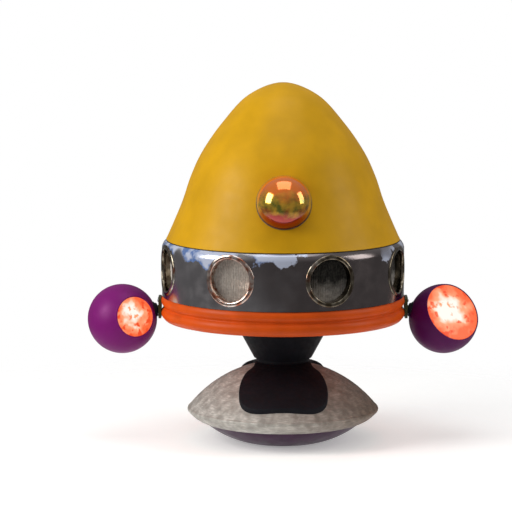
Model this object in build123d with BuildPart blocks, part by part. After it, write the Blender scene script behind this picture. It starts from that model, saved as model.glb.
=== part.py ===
"""Saucer kiddie ride: a rocking one-child cabin on a saucer base.

Frame: millimetres, +Z up, the rider faces -Y, and the origin is on the floor at the
centre of the anchor bolts. The cabin rocks about an axle along X in the black neck.
"""

import os
from math import asin, atan2, cos, degrees, radians, sin, sqrt

from build123d import *

# ---------------------------------------------------------------- driving dimensions
# Clearances and common hardware
RUNNING_GAP = 0.05  # radial clearance of a shaft in its bush
SEAT_GAP = 0.3  # clearance between covers that lie on one another
MOVING_GAP = 3.0  # clearance round a door or a rocking piece
BOLT_R = 5.0
BOLT_GAP = 0.2
HEX_R = 9.0
HEX_T = 7.0

# Saucer base
FOOT_R = 168.0
SEAM_R = 334.0
SEAM_Z = 83.0
RIM_R = 403.0
RIM_Z = 134.0
CROWN_Z = 333.0
HULL_WALL = 5.0
SHELL_WALL = 5.0
JOINT_FLANGE = 34.0
SHELL_OPENING_R = 112.0
RIM_ROUND = 7.0
LIP_OUT = 44.0  # the lip's middle stands this far outside the seam
LIP_UP = 21.0
DISH_R = 262.0  # the dish's middle, between its foot and the seam
DISH_Z = 34.0
SHELL_SCREW_R = 7.5
SHELL_SCREW_T = 5.0
SHELL_SCREW_COUNT = 8
ANCHOR_R = 130.0
ANCHOR_HOLE_R = 7.0
ANCHOR_PLATE_R = 160.0
ANCHOR_PLATE_T = 12.0
INLET_R = 12.0
INLET_HEAD_R = 17.0
INLET_HEAD_T = 10.0
INLET_BORE_R = 5.0
INLET_DROP = 18.0
INLET_LENGTH = 34.0

# Black drive cover and neck
COVER_RISE = 14.0
COVER_WALL = 5.0
COVER_HALF_LENGTH = 366.0
COVER_HALF_WIDTH = 184.0
COVER_WIDEST = 262.0
COVER_WAIST = 118.0
COVER_LIP = 8.0  # how far the cover's hollow stays inside its edge
PIVOT_Z = 345.0
COLLAR_R = 112.5
COLLAR_WALL = 5.0
COLLAR_LOW = -14.0
COLLAR_HIGH = 16.0
FUNNEL_LOW_R = 122.0
FUNNEL_LIFT = 7.0
FUNNEL_SLOPE = 0.54
FUNNEL_WALL = 3.5
FUNNEL_FLANGE = 34.0

# Rocking drive
AXLE_R = 15.0
AXLE_HALF = 74.0
CHEEK_IN = 52.0
CHEEK_T = 12.0
CHEEK_TOP_R = 38.0
FRAME_LENGTH = 300.0
FRAME_BOLT_SPAN = 240.0
SHELF_Z = 108.0
SHELF_T = 10.0
SHELF_FRONT = 262.0
SHELF_BACK = 70.0
SHELF_SIDE = 56.0
BUSH_WALL = 7.0
BUSH_FLANGE = 8.0
BUSH_FLANGE_T = 3.0
HUB_R = 34.0
COLUMN_R = 44.0
COLUMN_WALL = 6.0
COLUMN_FLANGE_R = 140.0
COLUMN_FLANGE_T = 10.0
DECK_BOLT_COUNT = 6
GUSSET_HEIGHT = 80.0
GUSSET_T = 8.0
LEVER_LENGTH = 150.0
LEVER_T = 14.0
PIN_R = 8.0
PIN_HEAD_R = 12.0
PIN_HEAD_T = 6.0
EYE_WALL = 12.0
ROD_LENGTH = 215.0
ROD_T = 12.0
ROD_WIDTH = 18.0
CRANK_THROW = 16.0
CRANK_DISC_R = 34.0
CRANK_T = 10.0
CRANK_STUB = 3.0
OUTPUT_R = 12.5
OUTPUT_LENGTH = 28.0
GEARBOX_HALF = 42.0
GEARBOX_LENGTH = 66.0
GEARBOX_NOSE_R = 24.0
GEARBOX_NOSE_T = 4.0
MOTOR_R = 44.0
MOTOR_LENGTH = 90.0
MOTOR_DROP = 18.0
MOTOR_BAND_R = 48.0
MOTOR_BAND_LENGTH = 60.0
POWER_BOX_DEPTH = 50.0
POWER_BOX_HEIGHT = 90.0
POWER_BOX_Y = 118.0

# Cabin
SKIRT_Z = 513.0
SILL_Z = 617.0
BAND_TOP_Z = 850.0
BAND_R = 508.0
BEAD_OVERHANG = 4.0  # the skirt's beads stand this far outside the band
SHOULDER_WIDTH = 18.0
SHOULDER_HEIGHT = 34.0
SKIRT_WALL = 6.0
BEAD_HEIGHT = 42.0
BEAD_DEPTH = 10.0
SKIRT_FOOT = 10.0
BAND_WALL = 3.0
BAND_FOOT = 30.0
BAND_LIP = 18.0
DECK_INSET = 28.0
DECK_SEAT = 30.0
DECK_T = 18.0
MAT_T = 8.0
SEAL_T = 3.0
DOME_WALL = 8.0
DOME_TOP_Z = 1510.0
# Dome curve: share of the foot's radius, share of the height, and lean of the surface in degrees
DOME_CURVE = (
    (1.0, 0.0, 19.0),
    (0.929, 0.120, 20.0),
    (0.857, 0.250, 20.0),
    (0.788, 0.403, 20.0),
    (0.690, 0.559, 32.0),
    (0.522, 0.740, 41.0),
    (0.296, 0.919, 60.0),
)

# Portholes, by angle from the front towards +X
PORT_Z = 738.0
PORT_HOLE_R = 98.0
PORT_LAP = 9.0
PORT_WALL = 10.0
PORT_PROUD = 5.0
PORT_DEPTH = 42.0
PORT_STEP = 48.0
PORT_SHIFT = -2.0
SCREEN_T = 4.0
SCREEN_LAP = 4.0
SCREEN_LIP = 3.0
SPEAKER_DEPTH = 32.0
SPEAKER_BACK_R = 44.0
MAGNET_R = 40.0
MAGNET_T = 18.0

# Doorway and door
DOOR_HALF = 214.0
ARCH_HALF = 205.0
ARCH_SPRING_Z = 1080.0
TRIM_LAP = 12.0
TRIM_T = 4.0
DOOR_FRAME_T = 19.0
DOOR_FRAME_DROP = 56.0
DOOR_FRAME_INSET = 4.0
DOOR_LIP = 8.0
BOLT_ROD_R = 4.5
BOLT_HEIGHT = 9.0
BOLT_INSET = 16.0
BOLT_TRAVEL = 22.0
BOLT_TAIL = 78.0
KNOB_SHANK_R = 4.0
KNOB_SHANK = 20.0
KNOB_R = 7.0
KNOB_T = 10.0
KNOB_BACK = 46.0
GUIDE_W = 12.0
GUIDE_HEIGHT = 17.0
GUIDE_HALF_T = 6.0
GUIDE_BACKS = (16.0, 70.0)
KEEPER_BACK = 10.0
HINGE_R = 7.0
HINGE_PIN_R = 3.0
HINGE_RISES = (55.0, 165.0)
KNUCKLE = 16.0
KNUCKLE_CAP = 3.0
LEAF_T = 2.5
LEAF_TURN = 6.0

# Nose lens
NOSE_Z = 1050.0
NOSE_R = 111.0
NOSE_WALL = 4.0
NOSE_HOLE_R = 55.0
NOSE_TILT = 20.0
GASKET_W = 3.0
LAMP_PLATE_R = 72.0
LAMP_PLATE_T = 14.0
LAMP_SOCKET_R = 28.0
LAMP_SOCKET_T = 34.0
BULB_NECK_R = 12.0
BULB_R = 24.0
BULB_OUT = 34.0

# Side lamps
LAMP_GAP = 18.0
LAMP_Z = 514.0
LAMP_R = 146.0
LAMP_WALL = 4.0
SPOT_LENS_R = 87.0
FLOOD_LENS_R = 128.0
LENS_T = 5.0
SPOT_AIM = (0.496, -0.846, 0.195)
FLOOD_AIM = (0.492, -0.715, 0.496)
BOARD_BACK = 34.0
BOARD_T = 3.0
DIODE_R = 8.0
DIODE_T = 5.0
DIODE_COUNT = 8
BOARD_POST_R = 12.0
STEM_R = 13.0
STEM_LENGTH = 52.0
SOCKET_R = 26.0
SOCKET_DEPTH = 30.0
BRACKET_Z = 562.0
BRACKET_W = 86.0
BRACKET_H = 92.0
BRACKET_ROUND = 16.0
BRACKET_RISE = 3.0
BRACKET_OUT = 11.0
BRACKET_IN = 20.0

# Rider's fittings
SEAT_TOP_Z = 768.0
SEAT_Y = 55.0
SEAT_HALF = 135.0
SEAT_LENGTH = 380.0
SEAT_CORNER = 62.0
SEAT_LEDGE = 6.0  # the base stands this far inside the cushion
SEAT_TAPER = 19.0
CUSHION_T = 50.0
CUSHION_ROUND = 20.0
BOLSTER_RISE = 70.0
BOLSTER_T = 36.0
BOLSTER_END = 25.0
MOULD_WALL = 5.0
DASH_HALF = 165.0
DASH_INSET = 116.0  # from the band's outside to the console's back
DASH_TOP_Z = 990.0
DASH_FACE_Z = 850.0
DASH_KNEE_Z = 800.0
DASH_DEPTH = 82.0
DASH_FACE_OUT = 44.0
DASH_FACE_LENGTH = 70.0
DASH_ROUND = 10.0
COLUMN_OUT = 96.0
COLUMN_FOOT_R = 36.0
COLUMN_FOOT_T = 8.0
COLUMN_TUBE_R = 22.0
SPINDLE_R = 10.0
WHEEL_R = 112.0
WHEEL_TUBE_R = 11.0
WHEEL_HUB_R = 30.0
WHEEL_HUB_BACK = 22.0
WHEEL_HUB_FRONT = 12.0
SPOKE_W = 26.0
SPOKE_T = 8.0
CAP_R = 27.0
CAP_T = 8.0
BUTTON_R = 24.0
BUTTON_TRAVEL = 4.0
BUTTON_T = 14.0
BUTTON_X = 128.0
BUTTON_RISE = 30.0
BUTTON_RING_W = 8.0
BUTTON_RING_T = 9.0

# Coin unit
COIN_ANGLE = 142.5
COIN_HALF = 48.0
COIN_HEIGHT = 186.0
COIN_DEPTH = 70.0
COIN_LAP = 6.0
COIN_WALL = 3.0
COIN_FLANGE_T = 4.0
SLOT_RISE = 62.0
SLOT_LENGTH = 34.0
SLOT_W = 4.0
REJECT_RISE = 8.0
REJECT_R = 12.0
REJECT_HEAD = 3.0
CUP_DROP = 52.0
CUP_W = 56.0
CUP_H = 44.0
CUP_DEPTH = 25.0
CUP_ROUND = 5.0
FLAP_T = 3.0
FLAP_PIN_R = 1.2

# ---------------------------------------------------------------- worked-out values
CROWN_R = (RIM_R**2 + (CROWN_Z - RIM_Z) ** 2) / (2 * (CROWN_Z - RIM_Z))
CROWN_CENTRE_Z = CROWN_Z - CROWN_R
PLATE_Z = HULL_WALL
FRAME_Z = PLATE_Z + ANCHOR_PLATE_T
FRAME_FOOT_T = 10.0
FRAME_TOP = FRAME_Z + FRAME_FOOT_T
FRAME_BOLT_WIDTH = 2 * CHEEK_IN - 20
FUNNEL_LOW_Z = PIVOT_Z + FUNNEL_LIFT
FUNNEL_TOP_R = FUNNEL_LOW_R + FUNNEL_SLOPE * (SKIRT_Z - FUNNEL_LOW_Z)
DECK_TOP_Z = SILL_Z - SKIRT_WALL
DECK_Z = DECK_TOP_Z - DECK_T
SKIRT_R = BAND_R + BEAD_OVERHANG
BAND_TOP_R = BAND_R - SHOULDER_WIDTH
DECK_R = BAND_R - DECK_INSET
DECK_SEAT_R = DECK_R - DECK_SEAT
DECK_BOLT_R = COLUMN_FLANGE_R - 20
FLOOR_Z = DECK_TOP_Z + MAT_T
DOME_Z = BAND_TOP_Z + SEAL_T
LEVER_Z = PIVOT_Z - LEVER_LENGTH
ROD_X = LEVER_T / 2 + 2
CRANK_Y = -ROD_LENGTH
CRANK_Z = LEVER_Z - CRANK_THROW
CRANK_X = ROD_X + ROD_T + 1 + CRANK_STUB
GEARBOX_X = CRANK_X + CRANK_T + 6
MOTOR_X = GEARBOX_X + GEARBOX_LENGTH
HUB_HALF = CHEEK_IN - 2 * BUSH_FLANGE_T
INLET_Z = SEAM_Z - INLET_DROP
PORT_FLANGE_R = PORT_HOLE_R + PORT_LAP
PORT_BORE_R = PORT_HOLE_R - PORT_WALL
PORT_ANGLES = [PORT_SHIFT + side * PORT_STEP * (n + 0.5) for n in range(3) for side in (-1, 1)]
DOOR_PORT_ANGLE = 180.0
HINGE_ANGLE = 180 + degrees(asin(DOOR_HALF / BAND_R)) + 0.6
HINGE_POST_R = BAND_R + HINGE_R + SEAT_GAP
HINGE_X = HINGE_POST_R * sin(radians(HINGE_ANGLE))
HINGE_Y = -HINGE_POST_R * cos(radians(HINGE_ANGLE))
HINGE_ZS = [SILL_Z + rise for rise in HINGE_RISES]
DOOR_Z = SILL_Z + BAND_WALL + MOVING_GAP
DOOR_FRAME_OUT = BAND_R - BAND_WALL - SEAT_GAP
FRAME_TOP_Z = BAND_TOP_Z - DOOR_FRAME_DROP
BOLT_AXIS_R = BAND_R - BOLT_INSET
JAMB_ANGLE = 180 - degrees(asin(DOOR_HALF / BAND_R))
LAMP_X = SKIRT_R + LAMP_GAP + LAMP_R
ARM_TURN = atan2(BRACKET_Z - LAMP_Z, LAMP_X - SKIRT_R)
SOCKET_IN = LAMP_R - SOCKET_DEPTH
SEAT_BASE_TOP_Z = SEAT_TOP_Z - CUSHION_T
DASH_BACK = -(BAND_R - DASH_INSET)
DASH_FRONT = DASH_BACK + DASH_DEPTH
FACE_LOW = (DASH_FRONT + DASH_FACE_OUT, DASH_FACE_Z)
FACE_HIGH = (FACE_LOW[0] - DASH_FACE_LENGTH, DASH_TOP_Z)
FACE_TURN = atan2(FACE_HIGH[1] - FACE_LOW[1], FACE_LOW[0] - FACE_HIGH[0])
BUTTON_SPOTS = {"horn_button": (-BUTTON_X, BUTTON_RISE), "light_button": (BUTTON_X, BUTTON_RISE)}
SLOT_SPOT = (0, SLOT_RISE)
REJECT_SPOT = (0, REJECT_RISE)
CUP_SPOT = (0, -CUP_DROP)
FLAP_PIN = (CUP_SPOT[1] + CUP_H / 2 - 4, -COIN_WALL + FLAP_T / 2)


def dome_outline(inset=0.0):
    """Half profile of the yellow dome, from the seam to the crown, drawn in by inset."""
    points = []
    for radius_share, height_share, lean in DOME_CURVE:
        r = BAND_TOP_R * radius_share - inset * cos(radians(lean))
        z = DOME_Z + (DOME_TOP_Z - DOME_Z) * height_share - inset * sin(radians(lean))
        points.append((r, z))
    return Spline(*points, (0, DOME_TOP_Z - inset), tangents=((-0.55, 1), (-1, 0)))


def dome_radius(z):
    """Outer radius of the dome at a height, found by halving along its curve."""
    with BuildLine():
        curve = dome_outline()
    low, high = 0.0, 1.0
    while high - low > 1e-6:
        middle = (low + high) / 2
        if (curve @ middle).Y < z:
            low = middle
        else:
            high = middle
    return (curve @ low).X


def radial_plane(angle, distance, z):
    """A plane facing outwards from the cabin's axis, X along the wall and Y up."""
    out = (sin(radians(angle)), -cos(radians(angle)), 0)
    along = (cos(radians(angle)), sin(radians(angle)), 0)
    return Plane(origin=(distance * out[0], distance * out[1], z), x_dir=along, z_dir=out)


def save(shape, label):
    """Names a finished piece and writes its STEP file."""
    shape.label = label
    export_step(shape, f"parts/{label}.step")


os.makedirs("parts", exist_ok=True)

# ================================================================ saucer base
# Purple hull: the shallow dish that the machine stands on, with a flange under the shell.
with BuildPart() as base_hull:
    with BuildSketch(Plane.XZ):
        with BuildLine():
            Line((0, 0), (FOOT_R, 0))
            ThreePointArc((FOOT_R, 0), (DISH_R, DISH_Z), (SEAM_R, SEAM_Z))
            Line((SEAM_R, SEAM_Z), (SEAM_R - JOINT_FLANGE, SEAM_Z))
            Line((SEAM_R - JOINT_FLANGE, SEAM_Z), (SEAM_R - JOINT_FLANGE, SEAM_Z - HULL_WALL))
            Line((SEAM_R - JOINT_FLANGE, SEAM_Z - HULL_WALL), (SEAM_R - 10, SEAM_Z - HULL_WALL))
            ThreePointArc(
                (SEAM_R - 10, SEAM_Z - HULL_WALL),
                (DISH_R - 3, DISH_Z + HULL_WALL),
                (FOOT_R - 1, HULL_WALL),
            )
            Line((FOOT_R - 1, HULL_WALL), (0, HULL_WALL))
            Line((0, HULL_WALL), (0, 0))
        make_face()
    revolve(axis=Axis.Z)
    with BuildSketch(Plane.XY):
        with PolarLocations(ANCHOR_R, 4, start_angle=45):
            Circle(ANCHOR_HOLE_R)
    extrude(amount=HULL_WALL, mode=Mode.SUBTRACT)
    # hole for the power inlet
    with BuildSketch(Plane.XZ.offset(-(SEAM_R + 4))):
        with Locations((0, INLET_Z)):
            Circle(INLET_R + SEAT_GAP)
    extrude(amount=INLET_LENGTH + 6, mode=Mode.SUBTRACT)
save(base_hull.part, "base_hull")

with BuildPart() as anchor_plate:
    with BuildSketch(Plane.XY.offset(PLATE_Z)):
        Circle(ANCHOR_PLATE_R)
        with PolarLocations(ANCHOR_R, 4, start_angle=45):
            Circle(ANCHOR_HOLE_R, mode=Mode.SUBTRACT)
    extrude(amount=ANCHOR_PLATE_T)
save(anchor_plate.part, "anchor_plate")

# Grey saucer shell: crown, rounded rim and a lip that turns under to the hull.
with BuildPart() as saucer_shell:
    with BuildSketch(Plane.XZ):
        with BuildLine():
            crown_in = sqrt(CROWN_R**2 - SHELL_OPENING_R**2) + CROWN_CENTRE_Z
            rim_z = sqrt(CROWN_R**2 - (RIM_R - RIM_ROUND) ** 2) + CROWN_CENTRE_Z
            mid_r = (SHELL_OPENING_R + RIM_R) / 2
            mid_z = sqrt(CROWN_R**2 - mid_r**2) + CROWN_CENTRE_Z
            crown = ThreePointArc(
                (SHELL_OPENING_R, crown_in), (mid_r, mid_z), (RIM_R - RIM_ROUND, rim_z)
            )
            rim = ThreePointArc(
                crown @ 1, (RIM_R, RIM_Z), (RIM_R - RIM_ROUND, RIM_Z - RIM_ROUND - 5)
            )
            lip_middle = (SEAM_R + LIP_OUT, SEAM_Z + LIP_UP)
            lip = ThreePointArc(rim @ 1, lip_middle, (SEAM_R, SEAM_Z))
            Line(lip @ 1, (SEAM_R - JOINT_FLANGE, SEAM_Z))
            Line((SEAM_R - JOINT_FLANGE, SEAM_Z), (SEAM_R - JOINT_FLANGE, SEAM_Z + SHELL_WALL))
            Line((SEAM_R - JOINT_FLANGE, SEAM_Z + SHELL_WALL), (SEAM_R - 2, SEAM_Z + SHELL_WALL))
            inner_lip = ThreePointArc(
                (SEAM_R - 2, SEAM_Z + SHELL_WALL),
                (lip_middle[0] - 3, lip_middle[1] + SHELL_WALL),
                (RIM_R - RIM_ROUND - SHELL_WALL, RIM_Z - RIM_ROUND),
            )
            inner_r = CROWN_R - SHELL_WALL
            inner_rim_r = RIM_R - RIM_ROUND - SHELL_WALL
            inner_rim_z = sqrt(inner_r**2 - inner_rim_r**2) + CROWN_CENTRE_Z
            Line(inner_lip @ 1, (inner_rim_r, inner_rim_z))
            inner_mid_z = sqrt(inner_r**2 - mid_r**2) + CROWN_CENTRE_Z
            inner_top_z = sqrt(inner_r**2 - SHELL_OPENING_R**2) + CROWN_CENTRE_Z
            ThreePointArc(
                (inner_rim_r, inner_rim_z), (mid_r, inner_mid_z), (SHELL_OPENING_R, inner_top_z)
            )
            Line((SHELL_OPENING_R, inner_top_z), (SHELL_OPENING_R, crown_in))
        make_face()
    revolve(axis=Axis.Z)
save(saucer_shell.part, "saucer_shell")

# Screws that hold the shell's flange to the hull's, heads inside the saucer.
with BuildPart() as shell_screws:
    with BuildSketch(Plane.XY.offset(SEAM_Z + SHELL_WALL)):
        with PolarLocations(SEAM_R - JOINT_FLANGE / 2, SHELL_SCREW_COUNT, start_angle=22.5):
            RegularPolygon(SHELL_SCREW_R, 6)
    extrude(amount=SHELL_SCREW_T)
save(shell_screws.part, "shell_screws")


# Black drive cover: a saddle over the crown with a round collar that the neck rocks on.
def cover_outline(inset=0.0):
    """One quarter of the cover's plan, mirrored twice."""
    corner = COVER_HALF_LENGTH - COVER_WIDEST
    front = Spline(
        (0, -COVER_HALF_LENGTH + inset),
        (0.53 * COVER_HALF_WIDTH, -COVER_HALF_LENGTH + 0.07 * corner + inset),
        (0.77 * COVER_HALF_WIDTH - 0.7 * inset, -COVER_HALF_LENGTH + 0.23 * corner + 0.7 * inset),
        (0.945 * COVER_HALF_WIDTH - inset, -COVER_HALF_LENGTH + 0.56 * corner),
        (COVER_HALF_WIDTH - inset, -COVER_WIDEST),
        (0.962 * COVER_HALF_WIDTH - inset, -0.725 * COVER_WIDEST),
        (0.82 * COVER_HALF_WIDTH - inset, -0.45 * COVER_WIDEST),
        (COVER_WAIST - inset, 0),
        tangents=((1, 0), (0, 1)),
    )
    mirror(front, about=Plane.XZ)
    mirror(about=Plane.YZ)


with BuildPart() as drive_cover:
    with BuildSketch(Plane.XY):
        with BuildLine():
            cover_outline()
        make_face()
    extrude(amount=CROWN_Z + COVER_RISE + 20)
    with Locations((0, 0, CROWN_CENTRE_Z)):
        Sphere(CROWN_R + COVER_RISE, mode=Mode.INTERSECT)
        Sphere(CROWN_R + SEAT_GAP, mode=Mode.SUBTRACT)
    top_edges = drive_cover.edges().sort_by(lambda e: (e.center() - Vector(0, 0, CROWN_CENTRE_Z)).length)
    fillet(top_edges[-4:], radius=COVER_RISE * 0.5)
    with BuildSketch(Plane.XY):
        with BuildLine():
            cover_outline(COVER_LIP)
        make_face()
    with Locations((0, 0, CROWN_CENTRE_Z)):
        inner_ball = Sphere(CROWN_R + COVER_RISE - COVER_WALL, mode=Mode.PRIVATE)
    hollow = extrude(amount=CROWN_Z + COVER_RISE, mode=Mode.PRIVATE)
    add(hollow & inner_ball, mode=Mode.SUBTRACT)
    # collar: a band of a ball round the axle
    with BuildSketch(Plane.XZ):
        with BuildLine():
            low = radians(COLLAR_LOW)
            high = radians(COLLAR_HIGH)
            inner = COLLAR_R - COLLAR_WALL
            ThreePointArc(
                (COLLAR_R * cos(low), PIVOT_Z + COLLAR_R * sin(low)),
                (COLLAR_R, PIVOT_Z),
                (COLLAR_R * cos(high), PIVOT_Z + COLLAR_R * sin(high)),
            )
            Line(
                (COLLAR_R * cos(high), PIVOT_Z + COLLAR_R * sin(high)),
                (inner * cos(high), PIVOT_Z + COLLAR_R * sin(high)),
            )
            Line(
                (inner * cos(high), PIVOT_Z + COLLAR_R * sin(high)),
                (inner * cos(high), PIVOT_Z + COLLAR_R * sin(low)),
            )
            Line(
                (inner * cos(high), PIVOT_Z + COLLAR_R * sin(low)),
                (COLLAR_R * cos(low), PIVOT_Z + COLLAR_R * sin(low)),
            )
        make_face()
    revolve(axis=Axis.Z)
    with BuildSketch(Plane.XY):
        Circle((COLLAR_R - COLLAR_WALL) * cos(radians(COLLAR_HIGH)))
    extrude(amount=CROWN_Z + 80, mode=Mode.SUBTRACT)
save(drive_cover.part, "drive_cover")

# Welded pedestal frame: foot, two cheeks that carry the axle, and the gearbox shelf.
with BuildPart() as pedestal_frame:
    with BuildSketch(Plane.XY.offset(FRAME_Z)):
        Rectangle(2 * (CHEEK_IN + CHEEK_T + 8), FRAME_LENGTH)
        with GridLocations(FRAME_BOLT_WIDTH, FRAME_BOLT_SPAN, 2, 2):
            Circle(BOLT_R, mode=Mode.SUBTRACT)
    extrude(amount=FRAME_FOOT_T)
    for side in (-1, 1):
        cheek_plane = Plane.YZ.offset(CHEEK_IN if side > 0 else -CHEEK_IN - CHEEK_T)
        with BuildSketch(cheek_plane):
            with BuildLine():
                Polyline(
                    (-FRAME_LENGTH / 3, FRAME_TOP),
                    (FRAME_LENGTH * 0.3, FRAME_TOP),
                    (CHEEK_TOP_R, PIVOT_Z),
                    (-CHEEK_TOP_R, PIVOT_Z),
                    (-FRAME_LENGTH * 0.3, SHELF_Z),
                    (-SHELF_FRONT, SHELF_Z),
                    (-SHELF_FRONT, SHELF_Z - CHEEK_T),
                    close=True,
                )
            make_face()
            with Locations((0, PIVOT_Z)):
                Circle(CHEEK_TOP_R)
                Circle(AXLE_R + BUSH_WALL, mode=Mode.SUBTRACT)
        extrude(amount=CHEEK_T)
    with BuildSketch(Plane.XY.offset(SHELF_Z - SHELF_T)):
        with Locations((SHELF_SIDE / 2, -(SHELF_FRONT + SHELF_BACK) / 2)):
            Rectangle(2 * CHEEK_IN + 2 * CHEEK_T + SHELF_SIDE, SHELF_FRONT - SHELF_BACK)
    extrude(amount=SHELF_T)
save(pedestal_frame.part, "pedestal_frame")

with BuildPart() as frame_bolts:
    with BuildSketch(Plane.XY.offset(FRAME_TOP)):
        with GridLocations(FRAME_BOLT_WIDTH, FRAME_BOLT_SPAN, 2, 2):
            RegularPolygon(HEX_R, 6)
    extrude(amount=HEX_T)
    with BuildSketch(Plane.XY.offset(FRAME_Z)):
        with GridLocations(FRAME_BOLT_WIDTH, FRAME_BOLT_SPAN, 2, 2):
            Circle(BOLT_R - BOLT_GAP)
    extrude(amount=FRAME_FOOT_T)
save(frame_bolts.part, "frame_bolts")

with BuildPart() as axle_bushes:
    for side in (-1, 1):
        bush_plane = Plane.YZ.offset(side * (CHEEK_IN - BUSH_FLANGE_T))
        with BuildSketch(bush_plane):
            with Locations((0, PIVOT_Z)):
                Circle(AXLE_R + BUSH_WALL + BUSH_FLANGE)
                Circle(AXLE_R + RUNNING_GAP, mode=Mode.SUBTRACT)
        extrude(amount=side * BUSH_FLANGE_T)
        with BuildSketch(Plane.YZ.offset(side * CHEEK_IN)):
            with Locations((0, PIVOT_Z)):
                Circle(AXLE_R + BUSH_WALL)
                Circle(AXLE_R + RUNNING_GAP, mode=Mode.SUBTRACT)
        extrude(amount=side * CHEEK_T)
save(axle_bushes.part, "axle_bushes")

# Geared motor on the shelf, its output shaft towards the crank.
with BuildPart() as gearbox:
    with BuildSketch(Plane.YZ.offset(GEARBOX_X)):
        with Locations((CRANK_Y, (SHELF_Z + CRANK_Z + GEARBOX_HALF) / 2)):
            RectangleRounded(2 * GEARBOX_HALF, CRANK_Z + GEARBOX_HALF - SHELF_Z, 12)
    extrude(amount=GEARBOX_LENGTH)
    with BuildSketch(Plane.XY.offset(SHELF_Z)):
        with Locations((GEARBOX_X + GEARBOX_LENGTH / 2, CRANK_Y)):
            Rectangle(GEARBOX_LENGTH, 2 * GEARBOX_HALF + 6)
    extrude(amount=SHELF_T)
    with BuildSketch(Plane.YZ.offset(GEARBOX_X - GEARBOX_NOSE_T)):
        with Locations((CRANK_Y, CRANK_Z)):
            Circle(GEARBOX_NOSE_R)
    extrude(amount=GEARBOX_NOSE_T)
    with BuildSketch(Plane.YZ.offset(GEARBOX_X - GEARBOX_NOSE_T)):
        with Locations((CRANK_Y, CRANK_Z)):
            Circle(OUTPUT_R)
    extrude(amount=OUTPUT_LENGTH + 2, mode=Mode.SUBTRACT)
save(gearbox.part, "gearbox")

with BuildPart() as drive_motor:
    with BuildSketch(Plane.YZ.offset(MOTOR_X)):
        with Locations((CRANK_Y, CRANK_Z - MOTOR_DROP)):
            Circle(MOTOR_R)
    extrude(amount=MOTOR_LENGTH)
    with BuildSketch(Plane.YZ.offset(MOTOR_X + 6)):
        with Locations((CRANK_Y, CRANK_Z - MOTOR_DROP)):
            Circle(MOTOR_BAND_R)
            Circle(MOTOR_R - 1, mode=Mode.SUBTRACT)
    extrude(amount=MOTOR_BAND_LENGTH)
    fillet(drive_motor.edges().sort_by(Axis.X)[-1], radius=8)
save(drive_motor.part, "drive_motor")

with BuildPart() as power_box:
    with BuildSketch(Plane.XY.offset(FRAME_TOP)):
        with Locations((0, POWER_BOX_Y)):
            Rectangle(2 * CHEEK_IN - 44, POWER_BOX_DEPTH)
    extrude(amount=POWER_BOX_HEIGHT)
    fillet(power_box.edges().filter_by(Axis.Z), radius=5)
save(power_box.part, "power_box")

with BuildPart() as power_inlet:
    with BuildSketch(Plane.XZ.offset(-(SEAM_R - 26))):
        with Locations((0, INLET_Z)):
            Circle(INLET_R)
    extrude(amount=-INLET_LENGTH)
    with BuildSketch(Plane.XZ.offset(-(SEAM_R - 2))):
        with Locations((0, INLET_Z)):
            Circle(INLET_HEAD_R)
    extrude(amount=-INLET_HEAD_T)
    with BuildSketch(Plane.XZ.offset(-(SEAM_R - 2))):
        with Locations((0, INLET_Z)):
            Circle(INLET_BORE_R)
    extrude(amount=-INLET_LENGTH, both=True, mode=Mode.SUBTRACT)
save(power_inlet.part, "power_inlet")

# ================================================================ crank and rod
with BuildPart() as crank_disc:
    with BuildSketch(Plane.YZ.offset(CRANK_X)):
        with Locations((CRANK_Y, CRANK_Z)):
            Circle(CRANK_DISC_R)
    extrude(amount=CRANK_T)
    # stub that faces the rod's eye
    with BuildSketch(Plane.YZ.offset(CRANK_X - CRANK_STUB)):
        with Locations((CRANK_Y, LEVER_Z)):
            Circle(PIN_R + 3)
    extrude(amount=CRANK_STUB)
    # output shaft that runs in the gearbox
    with BuildSketch(Plane.YZ.offset(CRANK_X + CRANK_T)):
        with Locations((CRANK_Y, CRANK_Z)):
            Circle(OUTPUT_R - RUNNING_GAP)
    extrude(amount=OUTPUT_LENGTH)
save(crank_disc.part, "crank_disc")

with BuildPart() as connecting_rod:
    with BuildSketch(Plane.YZ.offset(ROD_X)):
        with Locations((-ROD_LENGTH / 2, LEVER_Z)):
            Rectangle(ROD_LENGTH, ROD_WIDTH)
        with Locations((0, LEVER_Z), (-ROD_LENGTH, LEVER_Z)):
            Circle(PIN_R + EYE_WALL)
        with Locations((0, LEVER_Z)):
            Circle(PIN_R + RUNNING_GAP, mode=Mode.SUBTRACT)
        with Locations((-ROD_LENGTH, LEVER_Z)):
            Circle(PIN_R, mode=Mode.SUBTRACT)
    extrude(amount=ROD_T)
save(connecting_rod.part, "connecting_rod")

with BuildPart() as crank_pin:
    with BuildSketch(Plane.YZ.offset(ROD_X)):
        with Locations((-ROD_LENGTH, LEVER_Z)):
            Circle(PIN_R)
    extrude(amount=ROD_T)
    with BuildSketch(Plane.YZ.offset(ROD_X - PIN_HEAD_T)):
        with Locations((-ROD_LENGTH, LEVER_Z)):
            RegularPolygon(PIN_HEAD_R, 6)
    extrude(amount=PIN_HEAD_T)
save(crank_pin.part, "crank_pin")

# ================================================================ rocking column
with BuildPart() as rocker_axle:
    with BuildSketch(Plane.YZ.offset(-AXLE_HALF)):
        with Locations((0, PIVOT_Z)):
            Circle(AXLE_R)
    extrude(amount=2 * AXLE_HALF)
    chamfer(rocker_axle.edges().filter_by(GeomType.CIRCLE), length=1.5)
save(rocker_axle.part, "rocker_axle")

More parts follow.
